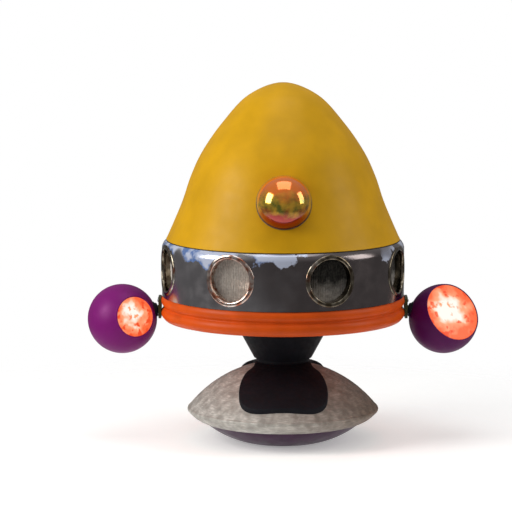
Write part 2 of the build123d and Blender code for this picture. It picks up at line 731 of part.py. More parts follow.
with BuildPart() as rocker_column:
    with BuildSketch(Plane.YZ.offset(-HUB_HALF)):
        with Locations((0, PIVOT_Z)):
            Circle(HUB_R)
    extrude(amount=2 * HUB_HALF)
    with BuildSketch(Plane.XY.offset(PIVOT_Z)):
        Circle(COLUMN_R)
    extrude(amount=DECK_Z - PIVOT_Z)
    with BuildSketch(Plane.XY.offset(PIVOT_Z + HUB_R + 8)):
        Circle(COLUMN_R - COLUMN_WALL)
    extrude(amount=DECK_Z - PIVOT_Z, mode=Mode.SUBTRACT)
    with BuildSketch(Plane.XY.offset(DECK_Z - COLUMN_FLANGE_T)):
        Circle(COLUMN_FLANGE_R)
        Circle(COLUMN_R - COLUMN_WALL, mode=Mode.SUBTRACT)
        with PolarLocations(DECK_BOLT_R, DECK_BOLT_COUNT):
            Circle(BOLT_R, mode=Mode.SUBTRACT)
    extrude(amount=COLUMN_FLANGE_T)
    with BuildSketch(Plane.YZ.offset(-LEVER_T / 2)):
        with BuildLine():
            Polyline((-26, PIVOT_Z), (26, PIVOT_Z), (15, LEVER_Z), (-15, LEVER_Z), close=True)
        make_face()
        with Locations((0, LEVER_Z)):
            Circle(PIN_R + EYE_WALL)
            Circle(PIN_R, mode=Mode.SUBTRACT)
    extrude(amount=LEVER_T)
    for turn in (45, 135, 225, 315):
        with BuildSketch(Plane.XZ.rotated((0, 0, turn))):
            with BuildLine():
                Polyline(
                    (COLUMN_R - 2, DECK_Z - COLUMN_FLANGE_T - GUSSET_HEIGHT),
                    (COLUMN_FLANGE_R - 30, DECK_Z - COLUMN_FLANGE_T),
                    (COLUMN_R - 2, DECK_Z - COLUMN_FLANGE_T),
                    close=True,
                )
            make_face()
        extrude(amount=GUSSET_T / 2, both=True)
    with BuildSketch(Plane.YZ.offset(-HUB_HALF)):
        with Locations((0, PIVOT_Z)):
            Circle(AXLE_R)
    extrude(amount=2 * HUB_HALF, mode=Mode.SUBTRACT)
save(rocker_column.part, "rocker_column")

with BuildPart() as lever_pin:
    with BuildSketch(Plane.YZ.offset(-LEVER_T / 2)):
        with Locations((0, LEVER_Z)):
            Circle(PIN_R)
    extrude(amount=ROD_X + ROD_T + LEVER_T / 2)
    with BuildSketch(Plane.YZ.offset(-LEVER_T / 2 - PIN_HEAD_T)):
        with Locations((0, LEVER_Z)):
            RegularPolygon(PIN_HEAD_R, 6)
    extrude(amount=PIN_HEAD_T)
    with BuildSketch(Plane.YZ.offset(ROD_X + ROD_T + 1)):
        with Locations((0, LEVER_Z)):
            Circle(PIN_HEAD_R + 1)
    extrude(amount=CRANK_STUB)
    with BuildSketch(Plane.YZ.offset(ROD_X + ROD_T)):
        with Locations((0, LEVER_Z)):
            Circle(PIN_R)
    extrude(amount=1)
save(lever_pin.part, "lever_pin")

# Black funnel between the neck and the cabin's underside.
with BuildPart() as neck_funnel:
    with BuildSketch(Plane.XZ):
        with BuildLine():
            top_z = SKIRT_Z - SEAT_GAP
            Polyline(
                (FUNNEL_LOW_R, FUNNEL_LOW_Z),
                (FUNNEL_TOP_R, top_z),
                (FUNNEL_TOP_R - FUNNEL_FLANGE, top_z),
                (FUNNEL_TOP_R - FUNNEL_FLANGE, top_z - FUNNEL_WALL),
                (FUNNEL_TOP_R - FUNNEL_WALL * 1.6, top_z - FUNNEL_WALL),
                (FUNNEL_LOW_R - FUNNEL_WALL, FUNNEL_LOW_Z),
                close=True,
            )
        make_face()
    revolve(axis=Axis.Z)
save(neck_funnel.part, "neck_funnel")

# ================================================================ cabin floor and skirt
with BuildPart() as floor_deck:
    with BuildSketch(Plane.XY.offset(DECK_Z)):
        Circle(DECK_R)
        with PolarLocations(DECK_BOLT_R, DECK_BOLT_COUNT):
            Circle(BOLT_R, mode=Mode.SUBTRACT)
    extrude(amount=DECK_T)
save(floor_deck.part, "floor_deck")

with BuildPart() as deck_bolts:
    with BuildSketch(Plane.XY.offset(DECK_Z - COLUMN_FLANGE_T)):
        with PolarLocations(DECK_BOLT_R, DECK_BOLT_COUNT):
            Circle(BOLT_R - BOLT_GAP)
    extrude(amount=COLUMN_FLANGE_T + DECK_T)
    with BuildSketch(Plane.XY.offset(DECK_Z - COLUMN_FLANGE_T - HEX_T)):
        with PolarLocations(DECK_BOLT_R, DECK_BOLT_COUNT):
            RegularPolygon(HEX_R, 6)
    extrude(amount=HEX_T)
save(deck_bolts.part, "deck_bolts")

# Orange skirt: two beads round a groove, and a flat belly with a hole for the column.
def skirt_outline(radius, floor_z):
    """Closed half section of the skirt, its beads reaching out to a radius."""
    edge = radius - BEAD_DEPTH
    foot_z = SKIRT_Z + SKIRT_FOOT
    low_bead_top = foot_z + BEAD_HEIGHT
    high_bead_foot = SILL_Z - BEAD_HEIGHT
    Polyline((0, SILL_Z), (0, floor_z), (edge - 18, floor_z))
    ThreePointArc((edge - 18, floor_z), (edge - 6, (floor_z + foot_z) / 2 - 1.5), (edge, foot_z))
    ThreePointArc((edge, foot_z), (radius, foot_z + BEAD_HEIGHT / 2), (edge, low_bead_top))
    groove_z = (low_bead_top + high_bead_foot) / 2
    ThreePointArc((edge, low_bead_top), (edge - 3, groove_z), (edge, high_bead_foot))
    ThreePointArc((edge, high_bead_foot), (radius, SILL_Z - BEAD_HEIGHT / 2), (edge, SILL_Z))
    Line((edge, SILL_Z), (0, SILL_Z))


with BuildPart() as cabin_skirt:
    with BuildSketch(Plane.XZ):
        with BuildLine():
            skirt_outline(SKIRT_R, SKIRT_Z)
        make_face()
        with BuildLine():
            skirt_outline(SKIRT_R - SKIRT_WALL, SKIRT_Z + SKIRT_WALL)
        make_face(mode=Mode.SUBTRACT)
        flange_out_r = SKIRT_R - BEAD_DEPTH
        with Locations(((DECK_SEAT_R + flange_out_r) / 2, SILL_Z - SKIRT_WALL / 2)):
            Rectangle(flange_out_r - DECK_SEAT_R, SKIRT_WALL)
        belly_r = FUNNEL_TOP_R - FUNNEL_FLANGE - SKIRT_WALL
        with Locations((belly_r / 2, SKIRT_Z)):
            Rectangle(belly_r, 4 * SKIRT_WALL, mode=Mode.SUBTRACT)
    revolve(axis=Axis.Z)
save(cabin_skirt.part, "cabin_skirt")

with BuildPart() as floor_mat:
    with BuildSketch(Plane.XY.offset(DECK_TOP_Z)):
        Circle(DECK_SEAT_R - 1)
    extrude(amount=MAT_T)
save(floor_mat.part, "floor_mat")


# ================================================================ chrome window band
def band_profile(wall, bottom, flange, top_lip):
    """Closed half section of the band, from a bottom flange to the lip under the dome."""
    outer_shoulder = (BAND_R - 0.28 * SHOULDER_WIDTH, BAND_TOP_Z - 0.41 * SHOULDER_HEIGHT)
    shoulder_z = BAND_TOP_Z - SHOULDER_HEIGHT
    Polyline((BAND_R - flange, bottom), (BAND_R, bottom), (BAND_R, shoulder_z))
    ThreePointArc((BAND_R, shoulder_z), outer_shoulder, (BAND_TOP_R, BAND_TOP_Z))
    Polyline(
        (BAND_TOP_R, BAND_TOP_Z),
        (BAND_TOP_R - top_lip, BAND_TOP_Z),
        (BAND_TOP_R - top_lip, BAND_TOP_Z - wall),
        (BAND_TOP_R - 1, BAND_TOP_Z - wall),
    )
    ThreePointArc(
        (BAND_TOP_R - 1, BAND_TOP_Z - wall),
        (outer_shoulder[0] - wall, outer_shoulder[1] - wall / 2),
        (BAND_R - wall, shoulder_z),
    )
    Polyline(
        (BAND_R - wall, shoulder_z),
        (BAND_R - wall, bottom + wall),
        (BAND_R - flange, bottom + wall),
        (BAND_R - flange, bottom),
    )


with BuildPart() as window_band:
    with BuildSketch(Plane.XZ):
        with BuildLine():
            band_profile(BAND_WALL, SILL_Z, BAND_FOOT, BAND_LIP)
        make_face()
    revolve(axis=Axis.Z)
    for angle in PORT_ANGLES:
        with BuildSketch(radial_plane(angle, BAND_R + 20, PORT_Z)):
            Circle(PORT_HOLE_R)
        extrude(amount=-60, mode=Mode.SUBTRACT)
    with BuildSketch(Plane.XZ.offset(-BAND_R - 20)):
        with BuildLine():
            Polyline(
                (-DOOR_HALF, SILL_Z + BAND_WALL),
                (DOOR_HALF, SILL_Z + BAND_WALL),
                (DOOR_HALF, BAND_TOP_Z + 1),
                (-DOOR_HALF, BAND_TOP_Z + 1),
                close=True,
            )
        make_face()
    extrude(amount=160, mode=Mode.SUBTRACT)
    with BuildSketch(radial_plane(COIN_ANGLE, BAND_R + 20, (SILL_Z + BAND_TOP_Z) / 2)):
        Rectangle(2 * COIN_HALF, COIN_HEIGHT)
    extrude(amount=-60, mode=Mode.SUBTRACT)
save(window_band.part, "window_band")


def porthole_bezel(angle):
    """A flanged cup that follows the band's curve and holds its screen at the bottom."""
    barrel_r = PORT_HOLE_R - SEAT_GAP
    plane = radial_plane(angle, BAND_R - PORT_DEPTH - SCREEN_T - SCREEN_LIP, PORT_Z)
    with BuildPart() as bezel:
        with BuildSketch(plane):
            Circle(barrel_r)
        extrude(amount=PORT_DEPTH + 30)
        with BuildSketch(plane.offset(PORT_DEPTH - 10)):
            Circle(PORT_FLANGE_R)
        extrude(amount=40)
        with BuildSketch(plane):
            Circle(PORT_BORE_R)
        extrude(amount=PORT_DEPTH + 40, mode=Mode.SUBTRACT)
        # seat for the screen
        with BuildSketch(plane):
            Circle(PORT_BORE_R + SCREEN_LAP)
        extrude(amount=SCREEN_T + SCREEN_LIP, mode=Mode.SUBTRACT)
        with BuildSketch(Plane.XY.offset(SILL_Z)):
            Circle(BAND_R + PORT_PROUD)
        extrude(amount=BAND_TOP_Z - SILL_Z, mode=Mode.INTERSECT)
        # the flange lies on the band, and only the barrel goes through it
        with BuildSketch(Plane.XY.offset(SILL_Z)):
            Circle(BAND_R + SEAT_GAP)
        band_bar = extrude(amount=BAND_TOP_Z - SILL_Z, mode=Mode.PRIVATE)
        with BuildSketch(plane.offset(-20)):
            Circle(PORT_FLANGE_R + 20)
            Circle(barrel_r, mode=Mode.SUBTRACT)
        outer_tube = extrude(amount=PORT_DEPTH + 80, mode=Mode.PRIVATE)
        add(outer_tube & band_bar, mode=Mode.SUBTRACT)
    return bezel.part


def porthole_screen(angle):
    """Ribbed screen at the bottom of a porthole's cup."""
    plane = radial_plane(angle, BAND_R - PORT_DEPTH - SCREEN_T, PORT_Z)
    with BuildPart() as screen:
        with BuildSketch(plane):
            Circle(PORT_BORE_R + SCREEN_LAP - SEAT_GAP)
        extrude(amount=SCREEN_T - SEAT_GAP)
    return screen.part


save(Compound(children=[porthole_bezel(a) for a in PORT_ANGLES]), "porthole_bezels")
save(Compound(children=[porthole_screen(a) for a in PORT_ANGLES]), "porthole_screens")

# Two loudspeakers behind the side portholes.
SPEAKER_PORTS = PORT_ANGLES[2:4]
with BuildPart() as speakers:
    for angle in SPEAKER_PORTS:
        barrel_end = BAND_R - PORT_DEPTH - SCREEN_T - SCREEN_LIP
        plane = radial_plane(angle, barrel_end - SEAT_GAP, PORT_Z)
        with BuildSketch(plane):
            Circle(PORT_BORE_R + SCREEN_LAP + 2)
        with BuildSketch(plane.offset(-SPEAKER_DEPTH)):
            Circle(SPEAKER_BACK_R)
        loft()
        with BuildSketch(plane.offset(-SPEAKER_DEPTH)):
            Circle(MAGNET_R)
        extrude(amount=-MAGNET_T)
save(speakers.part, "speakers")


# ================================================================ yellow dome
def dome_solid(inset):
    """The dome as a filled bell, drawn in by inset."""
    with BuildPart() as bell:
        with BuildSketch(Plane.XZ):
            with BuildLine():
                side = dome_outline(inset)
                Line(side @ 1, (0, (side @ 0).Y))
                Line((0, (side @ 0).Y), side @ 0)
            make_face()
        revolve(axis=Axis.Z)
    return bell.part


dome_outer = dome_solid(0)
dome_inner = dome_solid(DOME_WALL)
nose_out = (0, -cos(radians(NOSE_TILT)), sin(radians(NOSE_TILT)))
nose_plane = Plane(origin=(0, -dome_radius(NOSE_Z), NOSE_Z), x_dir=(1, 0, 0), z_dir=nose_out)


def arch_bar(grow):
    """The doorway's arch as a bar that runs from the axis out through the back wall."""
    half = ARCH_HALF + grow
    low = BAND_TOP_Z - 20
    with BuildPart() as bar:
        with BuildSketch(Plane.XZ):
            with BuildLine():
                Polyline((-half, ARCH_SPRING_Z), (-half, low), (half, low), (half, ARCH_SPRING_Z))
                ThreePointArc((half, ARCH_SPRING_Z), (0, ARCH_SPRING_Z + half), (-half, ARCH_SPRING_Z))
            make_face()
        extrude(amount=-BAND_R - 40)
    return bar.part


with BuildPart() as dome_shell:
    add(dome_outer)
    with BuildSketch(Plane.XY.offset(DOME_Z - 20)):
        Circle(BAND_TOP_R - DOME_WALL)
    foot_bore = extrude(amount=21, mode=Mode.PRIVATE)
    add(dome_inner, mode=Mode.SUBTRACT)
    add(foot_bore, mode=Mode.SUBTRACT)
    add(arch_bar(0), mode=Mode.SUBTRACT)
    with BuildSketch(nose_plane):
        Circle(NOSE_HOLE_R)
    extrude(amount=60, both=True, mode=Mode.SUBTRACT)
save(dome_shell.part, "dome_shell")

with BuildPart() as dome_seal:
    with BuildSketch(Plane.XY.offset(BAND_TOP_Z)):
        Circle(BAND_TOP_R - 1)
        Circle(BAND_TOP_R - BAND_LIP, mode=Mode.SUBTRACT)
        with Locations((0, BAND_R)):
            Rectangle(2 * DOOR_HALF, BAND_R, mode=Mode.SUBTRACT)
    extrude(amount=SEAL_T)
save(dome_seal.part, "dome_seal")

# Rubber edge trim round the doorway's arch.
trim_channel = dome_solid(-SEAT_GAP) - dome_solid(DOME_WALL + SEAT_GAP) - arch_bar(-SEAT_GAP)
with BuildPart() as doorway_trim:
    add(arch_bar(TRIM_LAP))
    add(arch_bar(-TRIM_T), mode=Mode.SUBTRACT)
    add(dome_solid(-TRIM_T), mode=Mode.INTERSECT)
    add(dome_solid(DOME_WALL + TRIM_T), mode=Mode.SUBTRACT)
    add(trim_channel, mode=Mode.SUBTRACT)
    with BuildSketch(Plane.XY.offset(DOME_Z + 1)):
        Rectangle(4 * BAND_R, 4 * BAND_R)
    extrude(amount=DOME_TOP_Z, mode=Mode.INTERSECT)
save(doorway_trim.part, "doorway_trim")

# Mirrored nose lens, its gasket and the lamp behind it.
with BuildPart() as nose_lens:
    with Locations(nose_plane):
        Sphere(NOSE_R)
        Sphere(NOSE_R - NOSE_WALL, mode=Mode.SUBTRACT)
    add(dome_solid(-SEAT_GAP), mode=Mode.SUBTRACT)
save(nose_lens.part, "nose_lens")

with BuildPart() as nose_gasket:
    with Locations(nose_plane):
        Sphere(NOSE_R + GASKET_W)
        Sphere(NOSE_R + SEAT_GAP, mode=Mode.SUBTRACT)
    add(dome_solid(-GASKET_W - 1), mode=Mode.INTERSECT)
    add(dome_outer, mode=Mode.SUBTRACT)
save(nose_gasket.part, "nose_gasket")

# Lamp holder: a plate that follows the inside of the dome, a socket and a bulb.
with BuildPart() as nose_lamp:
    with BuildSketch(nose_plane.offset(-20)):
        Circle(LAMP_PLATE_R)
    extrude(amount=30)
    add(dome_solid(DOME_WALL + SEAT_GAP), mode=Mode.INTERSECT)
    with BuildSketch(nose_plane.offset(-LAMP_SOCKET_T - 6)):
        Circle(LAMP_PLATE_R)
    with BuildSketch(nose_plane.offset(-LAMP_PLATE_T)):
        Circle(LAMP_PLATE_R - 12)
    loft(mode=Mode.SUBTRACT)
    with BuildSketch(nose_plane.offset(-LAMP_SOCKET_T)):
        Circle(LAMP_SOCKET_R)
    extrude(amount=LAMP_SOCKET_T)
    with BuildSketch(nose_plane.offset(-LAMP_SOCKET_T)):
        Circle(BULB_NECK_R)
    extrude(amount=LAMP_SOCKET_T + BULB_OUT - BULB_R / 2)
    with Locations(nose_plane.offset(BULB_OUT)):
        Sphere(BULB_R)
save(nose_lamp.part, "nose_lamp")

# ================================================================ side lamps
def stem_plane(side, along):
    """A plane across the lamp's stem, facing the lamp, at a distance from the lamp's centre."""
    towards_lamp = (side * cos(ARM_TURN), 0, -sin(ARM_TURN))
    centre = (side * LAMP_X, 0, LAMP_Z)
    origin = tuple(c - along * d for c, d in zip(centre, towards_lamp))
    return Plane(origin=origin, x_dir=(0, 1, 0), z_dir=towards_lamp)


def lens_plane(side, distance):
    """A plane across the lamp's aim, at a distance from the lamp's centre."""
    aim = SPOT_AIM if side < 0 else FLOOD_AIM
    length = sqrt(sum(c * c for c in aim))
    unit = tuple(c / length for c in aim)
    origin = (
        side * LAMP_X + unit[0] * distance,
        unit[1] * distance,
        LAMP_Z + unit[2] * distance,
    )
    return Plane(origin=origin, x_dir=(-unit[1], unit[0], 0), z_dir=unit)


with BuildPart() as lamp_arms:
    for side in (-1, 1):
        with BuildSketch(stem_plane(side, SOCKET_IN)):
            Circle(STEM_R)
        extrude(amount=-STEM_LENGTH)
        with BuildSketch(Plane.YZ.offset(side * (SKIRT_R - BRACKET_IN))):
            with Locations((0, BRACKET_Z + BRACKET_RISE)):
                RectangleRounded(BRACKET_W, BRACKET_H, BRACKET_ROUND)
        extrude(amount=side * (BRACKET_IN + BRACKET_OUT))
    with BuildSketch(Plane.XY.offset(SKIRT_Z)):
        Circle(SKIRT_R + SEAT_GAP)
    extrude(amount=SILL_Z - SKIRT_Z, mode=Mode.SUBTRACT)
save(lamp_arms.part, "lamp_arms")


def lamp_shell(side, lens_r):
    """A hollow ball cut flat for its lens, with a socket that turns on the stem."""
    cut = sqrt(LAMP_R**2 - lens_r**2)
    with BuildPart() as shell:
        with Locations((side * LAMP_X, 0, LAMP_Z)):
            Sphere(LAMP_R)
        with BuildSketch(lens_plane(side, cut)):
            Circle(LAMP_R * 2)
        extrude(amount=LAMP_R * 2, mode=Mode.SUBTRACT)
        with Locations((side * LAMP_X, 0, LAMP_Z)):
            Sphere(LAMP_R - LAMP_WALL, mode=Mode.SUBTRACT)
        with BuildSketch(lens_plane(side, cut - LENS_T - 6)):
            Circle(lens_r - LAMP_WALL)
        extrude(amount=LAMP_R, mode=Mode.SUBTRACT)
        with BuildSketch(stem_plane(side, SOCKET_IN - 6)):
            Circle(SOCKET_R)
        extrude(amount=-(LAMP_R - SOCKET_IN + 3))
        with BuildSketch(stem_plane(side, SOCKET_IN - 0.5)):
            Circle(STEM_R + RUNNING_GAP)
        extrude(amount=-LAMP_R, mode=Mode.SUBTRACT)
    return shell.part


def lamp_lens(side, lens_r):
    """A domed disc that closes the cut."""
    cut = sqrt(LAMP_R**2 - lens_r**2)
    with BuildPart() as lens:
        with BuildSketch(lens_plane(side, cut - LENS_T)):
            Circle(lens_r - LAMP_WALL - SEAT_GAP)
        extrude(amount=LENS_T)
    return lens.part


def lamp_board(side, lens_r):
    """Round light board with a ring of light sources, on a post from the socket's side."""
    cut = sqrt(LAMP_R**2 - lens_r**2)
    board_r = lens_r * 0.8
    with BuildPart() as board:
        with BuildSketch(lens_plane(side, cut - BOARD_BACK)):
            Circle(board_r)
        extrude(amount=BOARD_T)
        with BuildSketch(lens_plane(side, cut - BOARD_BACK + BOARD_T)):
            with PolarLocations(board_r * 0.6, DIODE_COUNT):
                Circle(DIODE_R)
            Circle(DIODE_R)
        extrude(amount=DIODE_T)
        with BuildSketch(lens_plane(side, cut - BOARD_BACK)):
            Circle(BOARD_POST_R)
        extrude(amount=-(cut - BOARD_BACK) - LAMP_R + LAMP_WALL + 1)
    return board.part


save(lamp_shell(-1, SPOT_LENS_R), "left_lamp_shell")
save(lamp_lens(-1, SPOT_LENS_R), "left_lamp_lens")
save(lamp_board(-1, SPOT_LENS_R), "left_lamp_board")
save(lamp_shell(1, FLOOD_LENS_R), "right_lamp_shell")
save(lamp_lens(1, FLOOD_LENS_R), "right_lamp_lens")
save(lamp_board(1, FLOOD_LENS_R), "right_lamp_board")

# ================================================================ seat and dashboard
def seat_foot(wall):
    """The seat base's outline on the floor, drawn in by a wall."""
    with Locations((0, SEAT_Y)):
        RectangleRounded(
            2 * (SEAT_HALF - SEAT_LEDGE - SEAT_TAPER - wall),
            SEAT_LENGTH - 2 * (SEAT_LEDGE + SEAT_TAPER + wall),
            SEAT_CORNER - SEAT_LEDGE - wall,
        )


def seat_rim(wall):
    """The seat base's outline under the cushion, drawn in by a wall."""
    with Locations((0, SEAT_Y)):
        RectangleRounded(
            2 * (SEAT_HALF - SEAT_LEDGE - wall),
            SEAT_LENGTH - 2 * (SEAT_LEDGE + wall),
            SEAT_CORNER - SEAT_LEDGE - wall,
        )


with BuildPart() as seat_base:
    with BuildSketch(Plane.XY.offset(FLOOR_Z)):
        seat_foot(0)
    with BuildSketch(Plane.XY.offset(SEAT_BASE_TOP_Z)):
        seat_rim(0)
    loft()
    with BuildSketch(Plane.XY.offset(FLOOR_Z)):
        seat_foot(MOULD_WALL)
    with BuildSketch(Plane.XY.offset(SEAT_BASE_TOP_Z - MOULD_WALL)):
        seat_rim(MOULD_WALL)
    loft(mode=Mode.SUBTRACT)
save(seat_base.part, "seat_base")

with BuildPart() as seat_cushion:
    with BuildSketch(Plane.XY.offset(SEAT_BASE_TOP_Z)):
        with Locations((0, SEAT_Y)):
            RectangleRounded(2 * SEAT_HALF, SEAT_LENGTH, SEAT_CORNER)
    extrude(amount=CUSHION_T)
    fillet(seat_cushion.faces().sort_by(Axis.Z)[-1].edges(), radius=CUSHION_ROUND)
    with BuildSketch(Plane.YZ):
        with BuildLine():
            back = SEAT_Y + SEAT_LENGTH / 2
            bolster_top = SEAT_TOP_Z + BOLSTER_RISE
            Polyline(
                (back - 2 * BOLSTER_T, SEAT_BASE_TOP_Z + 10),
                (back - 6, SEAT_BASE_TOP_Z + 10),
                (back - 1, bolster_top),
                (back - 1 - BOLSTER_T, bolster_top),
                (back - 2 * BOLSTER_T + 3, SEAT_TOP_Z),
                close=True,
            )
        make_face()
    extrude(amount=SEAT_HALF - BOLSTER_END, both=True)
save(seat_cushion.part, "seat_cushion")

# Dashboard: a console at the front with a sloped face.
def dash_outline():
    """Side outline of the dashboard, with its sloped face towards the rider."""
    Polyline(
        (DASH_BACK, FLOOR_Z),
        (DASH_FRONT, FLOOR_Z),
        (DASH_FRONT + 0.4 * DASH_FACE_OUT, DASH_KNEE_Z),
        FACE_LOW,
        FACE_HIGH,
        (FACE_HIGH[0] - 30, DASH_TOP_Z - 5),
        (DASH_BACK, DASH_FACE_Z + 30),
        close=True,
    )


with BuildPart() as dashboard:
    with BuildSketch(Plane.YZ):
        with BuildLine():
            dash_outline()
        make_face()
    extrude(amount=DASH_HALF, both=True)
    fillet(dashboard.edges().filter_by(Axis.X).group_by(Axis.Z)[-1], radius=DASH_ROUND)
    with BuildSketch(Plane.YZ):
        with BuildLine():
            dash_outline()
        make_face()
        offset(amount=-MOULD_WALL)
        # way in for the cables, through the console's back
        with Locations((DASH_BACK, (FLOOR_Z + DASH_FACE_Z) / 2)):
            Rectangle(4 * MOULD_WALL, DASH_FACE_Z - FLOOR_Z - 8 * MOULD_WALL)
    extrude(amount=DASH_HALF - MOULD_WALL, both=True, mode=Mode.SUBTRACT)
save(dashboard.part, "dashboard")

face_plane = Plane(
    origin=(0, (FACE_LOW[0] + FACE_HIGH[0]) / 2, (FACE_LOW[1] + FACE_HIGH[1]) / 2),
    x_dir=(1, 0, 0),
    z_dir=(0, sin(FACE_TURN), cos(FACE_TURN)),
)
with BuildPart() as steering_post:
    with BuildSketch(face_plane):
        Circle(COLUMN_FOOT_R)
    extrude(amount=COLUMN_FOOT_T)
    with BuildSketch(face_plane.offset(COLUMN_FOOT_T)):
        Circle(COLUMN_TUBE_R)
    extrude(amount=COLUMN_OUT - COLUMN_FOOT_T - WHEEL_HUB_BACK - 4)
    with BuildSketch(face_plane.offset(COLUMN_FOOT_T)):
        Circle(SPINDLE_R)
    extrude(amount=COLUMN_OUT - COLUMN_FOOT_T - 4)
save(steering_post.part, "steering_post")

with BuildPart() as steering_wheel:
    wheel_plane = face_plane.offset(COLUMN_OUT)
    with Locations(wheel_plane):
        Torus(WHEEL_R, WHEEL_TUBE_R)
    with BuildSketch(wheel_plane.offset(-WHEEL_HUB_BACK)):
        Circle(WHEEL_HUB_R)
    extrude(amount=WHEEL_HUB_BACK + WHEEL_HUB_FRONT)
    with BuildSketch(wheel_plane.offset(2 - SPOKE_T)):
        with PolarLocations(WHEEL_R / 2 + 8, 3, start_angle=90):
            Rectangle(WHEEL_R - 20, SPOKE_W)
    extrude(amount=SPOKE_T)
    with BuildSketch(wheel_plane.offset(-WHEEL_HUB_BACK)):
        Circle(SPINDLE_R + RUNNING_GAP)
    extrude(amount=WHEEL_HUB_BACK, mode=Mode.SUBTRACT)
save(steering_wheel.part, "steering_wheel")

with BuildPart() as wheel_cap:
    with BuildSketch(wheel_plane.offset(WHEEL_HUB_FRONT)):
        Circle(CAP_R)
    extrude(amount=CAP_T)
    fillet(wheel_cap.faces().sort_by(lambda f: f.center().Z)[-1].edges(), radius=4)
save(wheel_cap.part, "wheel_cap")

with BuildPart() as button_rings:
    with BuildSketch(face_plane):
        with Locations(*BUTTON_SPOTS.values()):
            Circle(BUTTON_R + BUTTON_RING_W)
            Circle(BUTTON_R + 0.5, mode=Mode.SUBTRACT)
    extrude(amount=BUTTON_RING_T)
save(button_rings.part, "button_rings")

for label, spot in BUTTON_SPOTS.items():
    with BuildPart() as button:
        with BuildSketch(face_plane.offset(BUTTON_TRAVEL + 1)):
            with Locations(spot):
                Circle(BUTTON_R)
        extrude(amount=BUTTON_T)
        fillet(button.edges().sort_by(Axis.Z)[-1], radius=5)
    save(button.part, label)

# ================================================================ coin unit
coin_plane = radial_plane(COIN_ANGLE, BAND_R + 4, (SILL_Z + BAND_TOP_Z) / 2)


def flap_pin(radius, length):
    """The flap's hinge pin, across the top of the return cup."""
    with BuildPart() as pin:
        start = coin_plane.origin - coin_plane.x_dir * (length / 2)
        start += coin_plane.y_dir * FLAP_PIN[0] + coin_plane.z_dir * FLAP_PIN[1]
        with BuildSketch(Plane(origin=start, x_dir=coin_plane.y_dir, z_dir=coin_plane.x_dir)):
            Circle(radius)
        extrude(amount=length)
    return pin.part


with BuildPart() as coin_housing:
    with BuildSketch(coin_plane):
        RectangleRounded(2 * (COIN_HALF + COIN_LAP), COIN_HEIGHT + 2 * COIN_LAP, 8)
    extrude(amount=COIN_FLANGE_T)
    fillet(coin_housing.faces().sort_by(Axis.Y)[-1].outer_wire().edges(), radius=1.5)
    with BuildSketch(coin_plane):
        Rectangle(2 * COIN_HALF - 2, COIN_HEIGHT - 2)
    extrude(amount=-COIN_DEPTH)
    with BuildSketch(coin_plane.offset(-COIN_WALL)):
        Rectangle(2 * COIN_HALF - 8, COIN_HEIGHT - 8)
    extrude(amount=-COIN_DEPTH, mode=Mode.SUBTRACT)
    with BuildSketch(coin_plane.offset(-10)):
        with Locations(SLOT_SPOT):
            SlotOverall(SLOT_LENGTH, SLOT_W, rotation=90)
        with Locations(REJECT_SPOT):
            Circle(REJECT_R + 0.5)
        with Locations(CUP_SPOT):
            RectangleRounded(CUP_W, CUP_H, CUP_ROUND)
    extrude(amount=20, mode=Mode.SUBTRACT)
    add(flap_pin(FLAP_PIN_R + RUNNING_GAP, CUP_W + 8), mode=Mode.SUBTRACT)
save(coin_housing.part, "coin_housing")

with BuildPart() as coin_mech:
    with BuildSketch(coin_plane.offset(-12)):
        with Locations((0, 40)):
            Rectangle(2 * COIN_HALF - 9, 78)
    extrude(amount=-46)
    with BuildSketch(coin_plane.offset(-COIN_WALL - CUP_DEPTH)):
        with Locations(CUP_SPOT):
            Rectangle(2 * COIN_HALF - 9, CUP_H + 18)
    extrude(amount=-30)
save(coin_mech.part, "coin_mech")

with BuildPart() as reject_button:
    with BuildSketch(coin_plane.offset(-COIN_WALL - 3)):
        with Locations(REJECT_SPOT):
            Circle(REJECT_R)
    extrude(amount=15)
    with BuildSketch(coin_plane.offset(-COIN_WALL - SEAT_GAP)):
        with Locations(REJECT_SPOT):
            Circle(REJECT_R + REJECT_HEAD)
    extrude(amount=-REJECT_HEAD)
save(reject_button.part, "reject_button")

with BuildPart() as return_flap:
    with BuildSketch(coin_plane.offset(-COIN_WALL)):
        with Locations(CUP_SPOT):
            RectangleRounded(CUP_W - 2, CUP_H - 2, CUP_ROUND)
    extrude(amount=FLAP_T)
    add(flap_pin(FLAP_PIN_R, CUP_W + 7))
save(return_flap.part, "return_flap")

# ================================================================ door
door_front = Plane.XZ.offset(-BAND_R - 20)


def door_slab(half, low, high):
    """A block as wide as the door, through the back of the band."""
    with BuildPart() as slab:
        with BuildSketch(door_front):
            with BuildLine():
                Polyline((-half, low), (half, low), (half, high), (-half, high), close=True)
            make_face()
        extrude(amount=160)
    return slab.part


with BuildPart() as door_skin:
    with BuildSketch(Plane.XZ):
        with BuildLine():
            band_profile(BAND_WALL, DOOR_Z, BAND_WALL + 0.1, DOOR_LIP)
        make_face()
    revolve(axis=Axis.Z)
    add(door_slab(DOOR_HALF - MOVING_GAP, DOOR_Z, BAND_TOP_Z), mode=Mode.INTERSECT)
    with BuildSketch(radial_plane(DOOR_PORT_ANGLE, BAND_R + 20, PORT_Z)):
        Circle(PORT_HOLE_R)
    extrude(amount=-60, mode=Mode.SUBTRACT)
save(door_skin.part, "door_skin")

# Barrel bolt on top of the door's frame: rod, two guides on the door and a keeper on the band.
bolt_plane = radial_plane(JAMB_ANGLE, BOLT_AXIS_R, FRAME_TOP_Z + BOLT_HEIGHT)


def bolt_rod(radius, first, last):
    """A round rod along the bolt's line, between two distances from the jamb."""
    start = bolt_plane.origin - bolt_plane.x_dir * first
    with BuildPart() as rod:
        with BuildSketch(Plane(origin=start, x_dir=bolt_plane.y_dir, z_dir=-bolt_plane.x_dir)):
            Circle(radius)
        extrude(amount=last - first)
    return rod.part


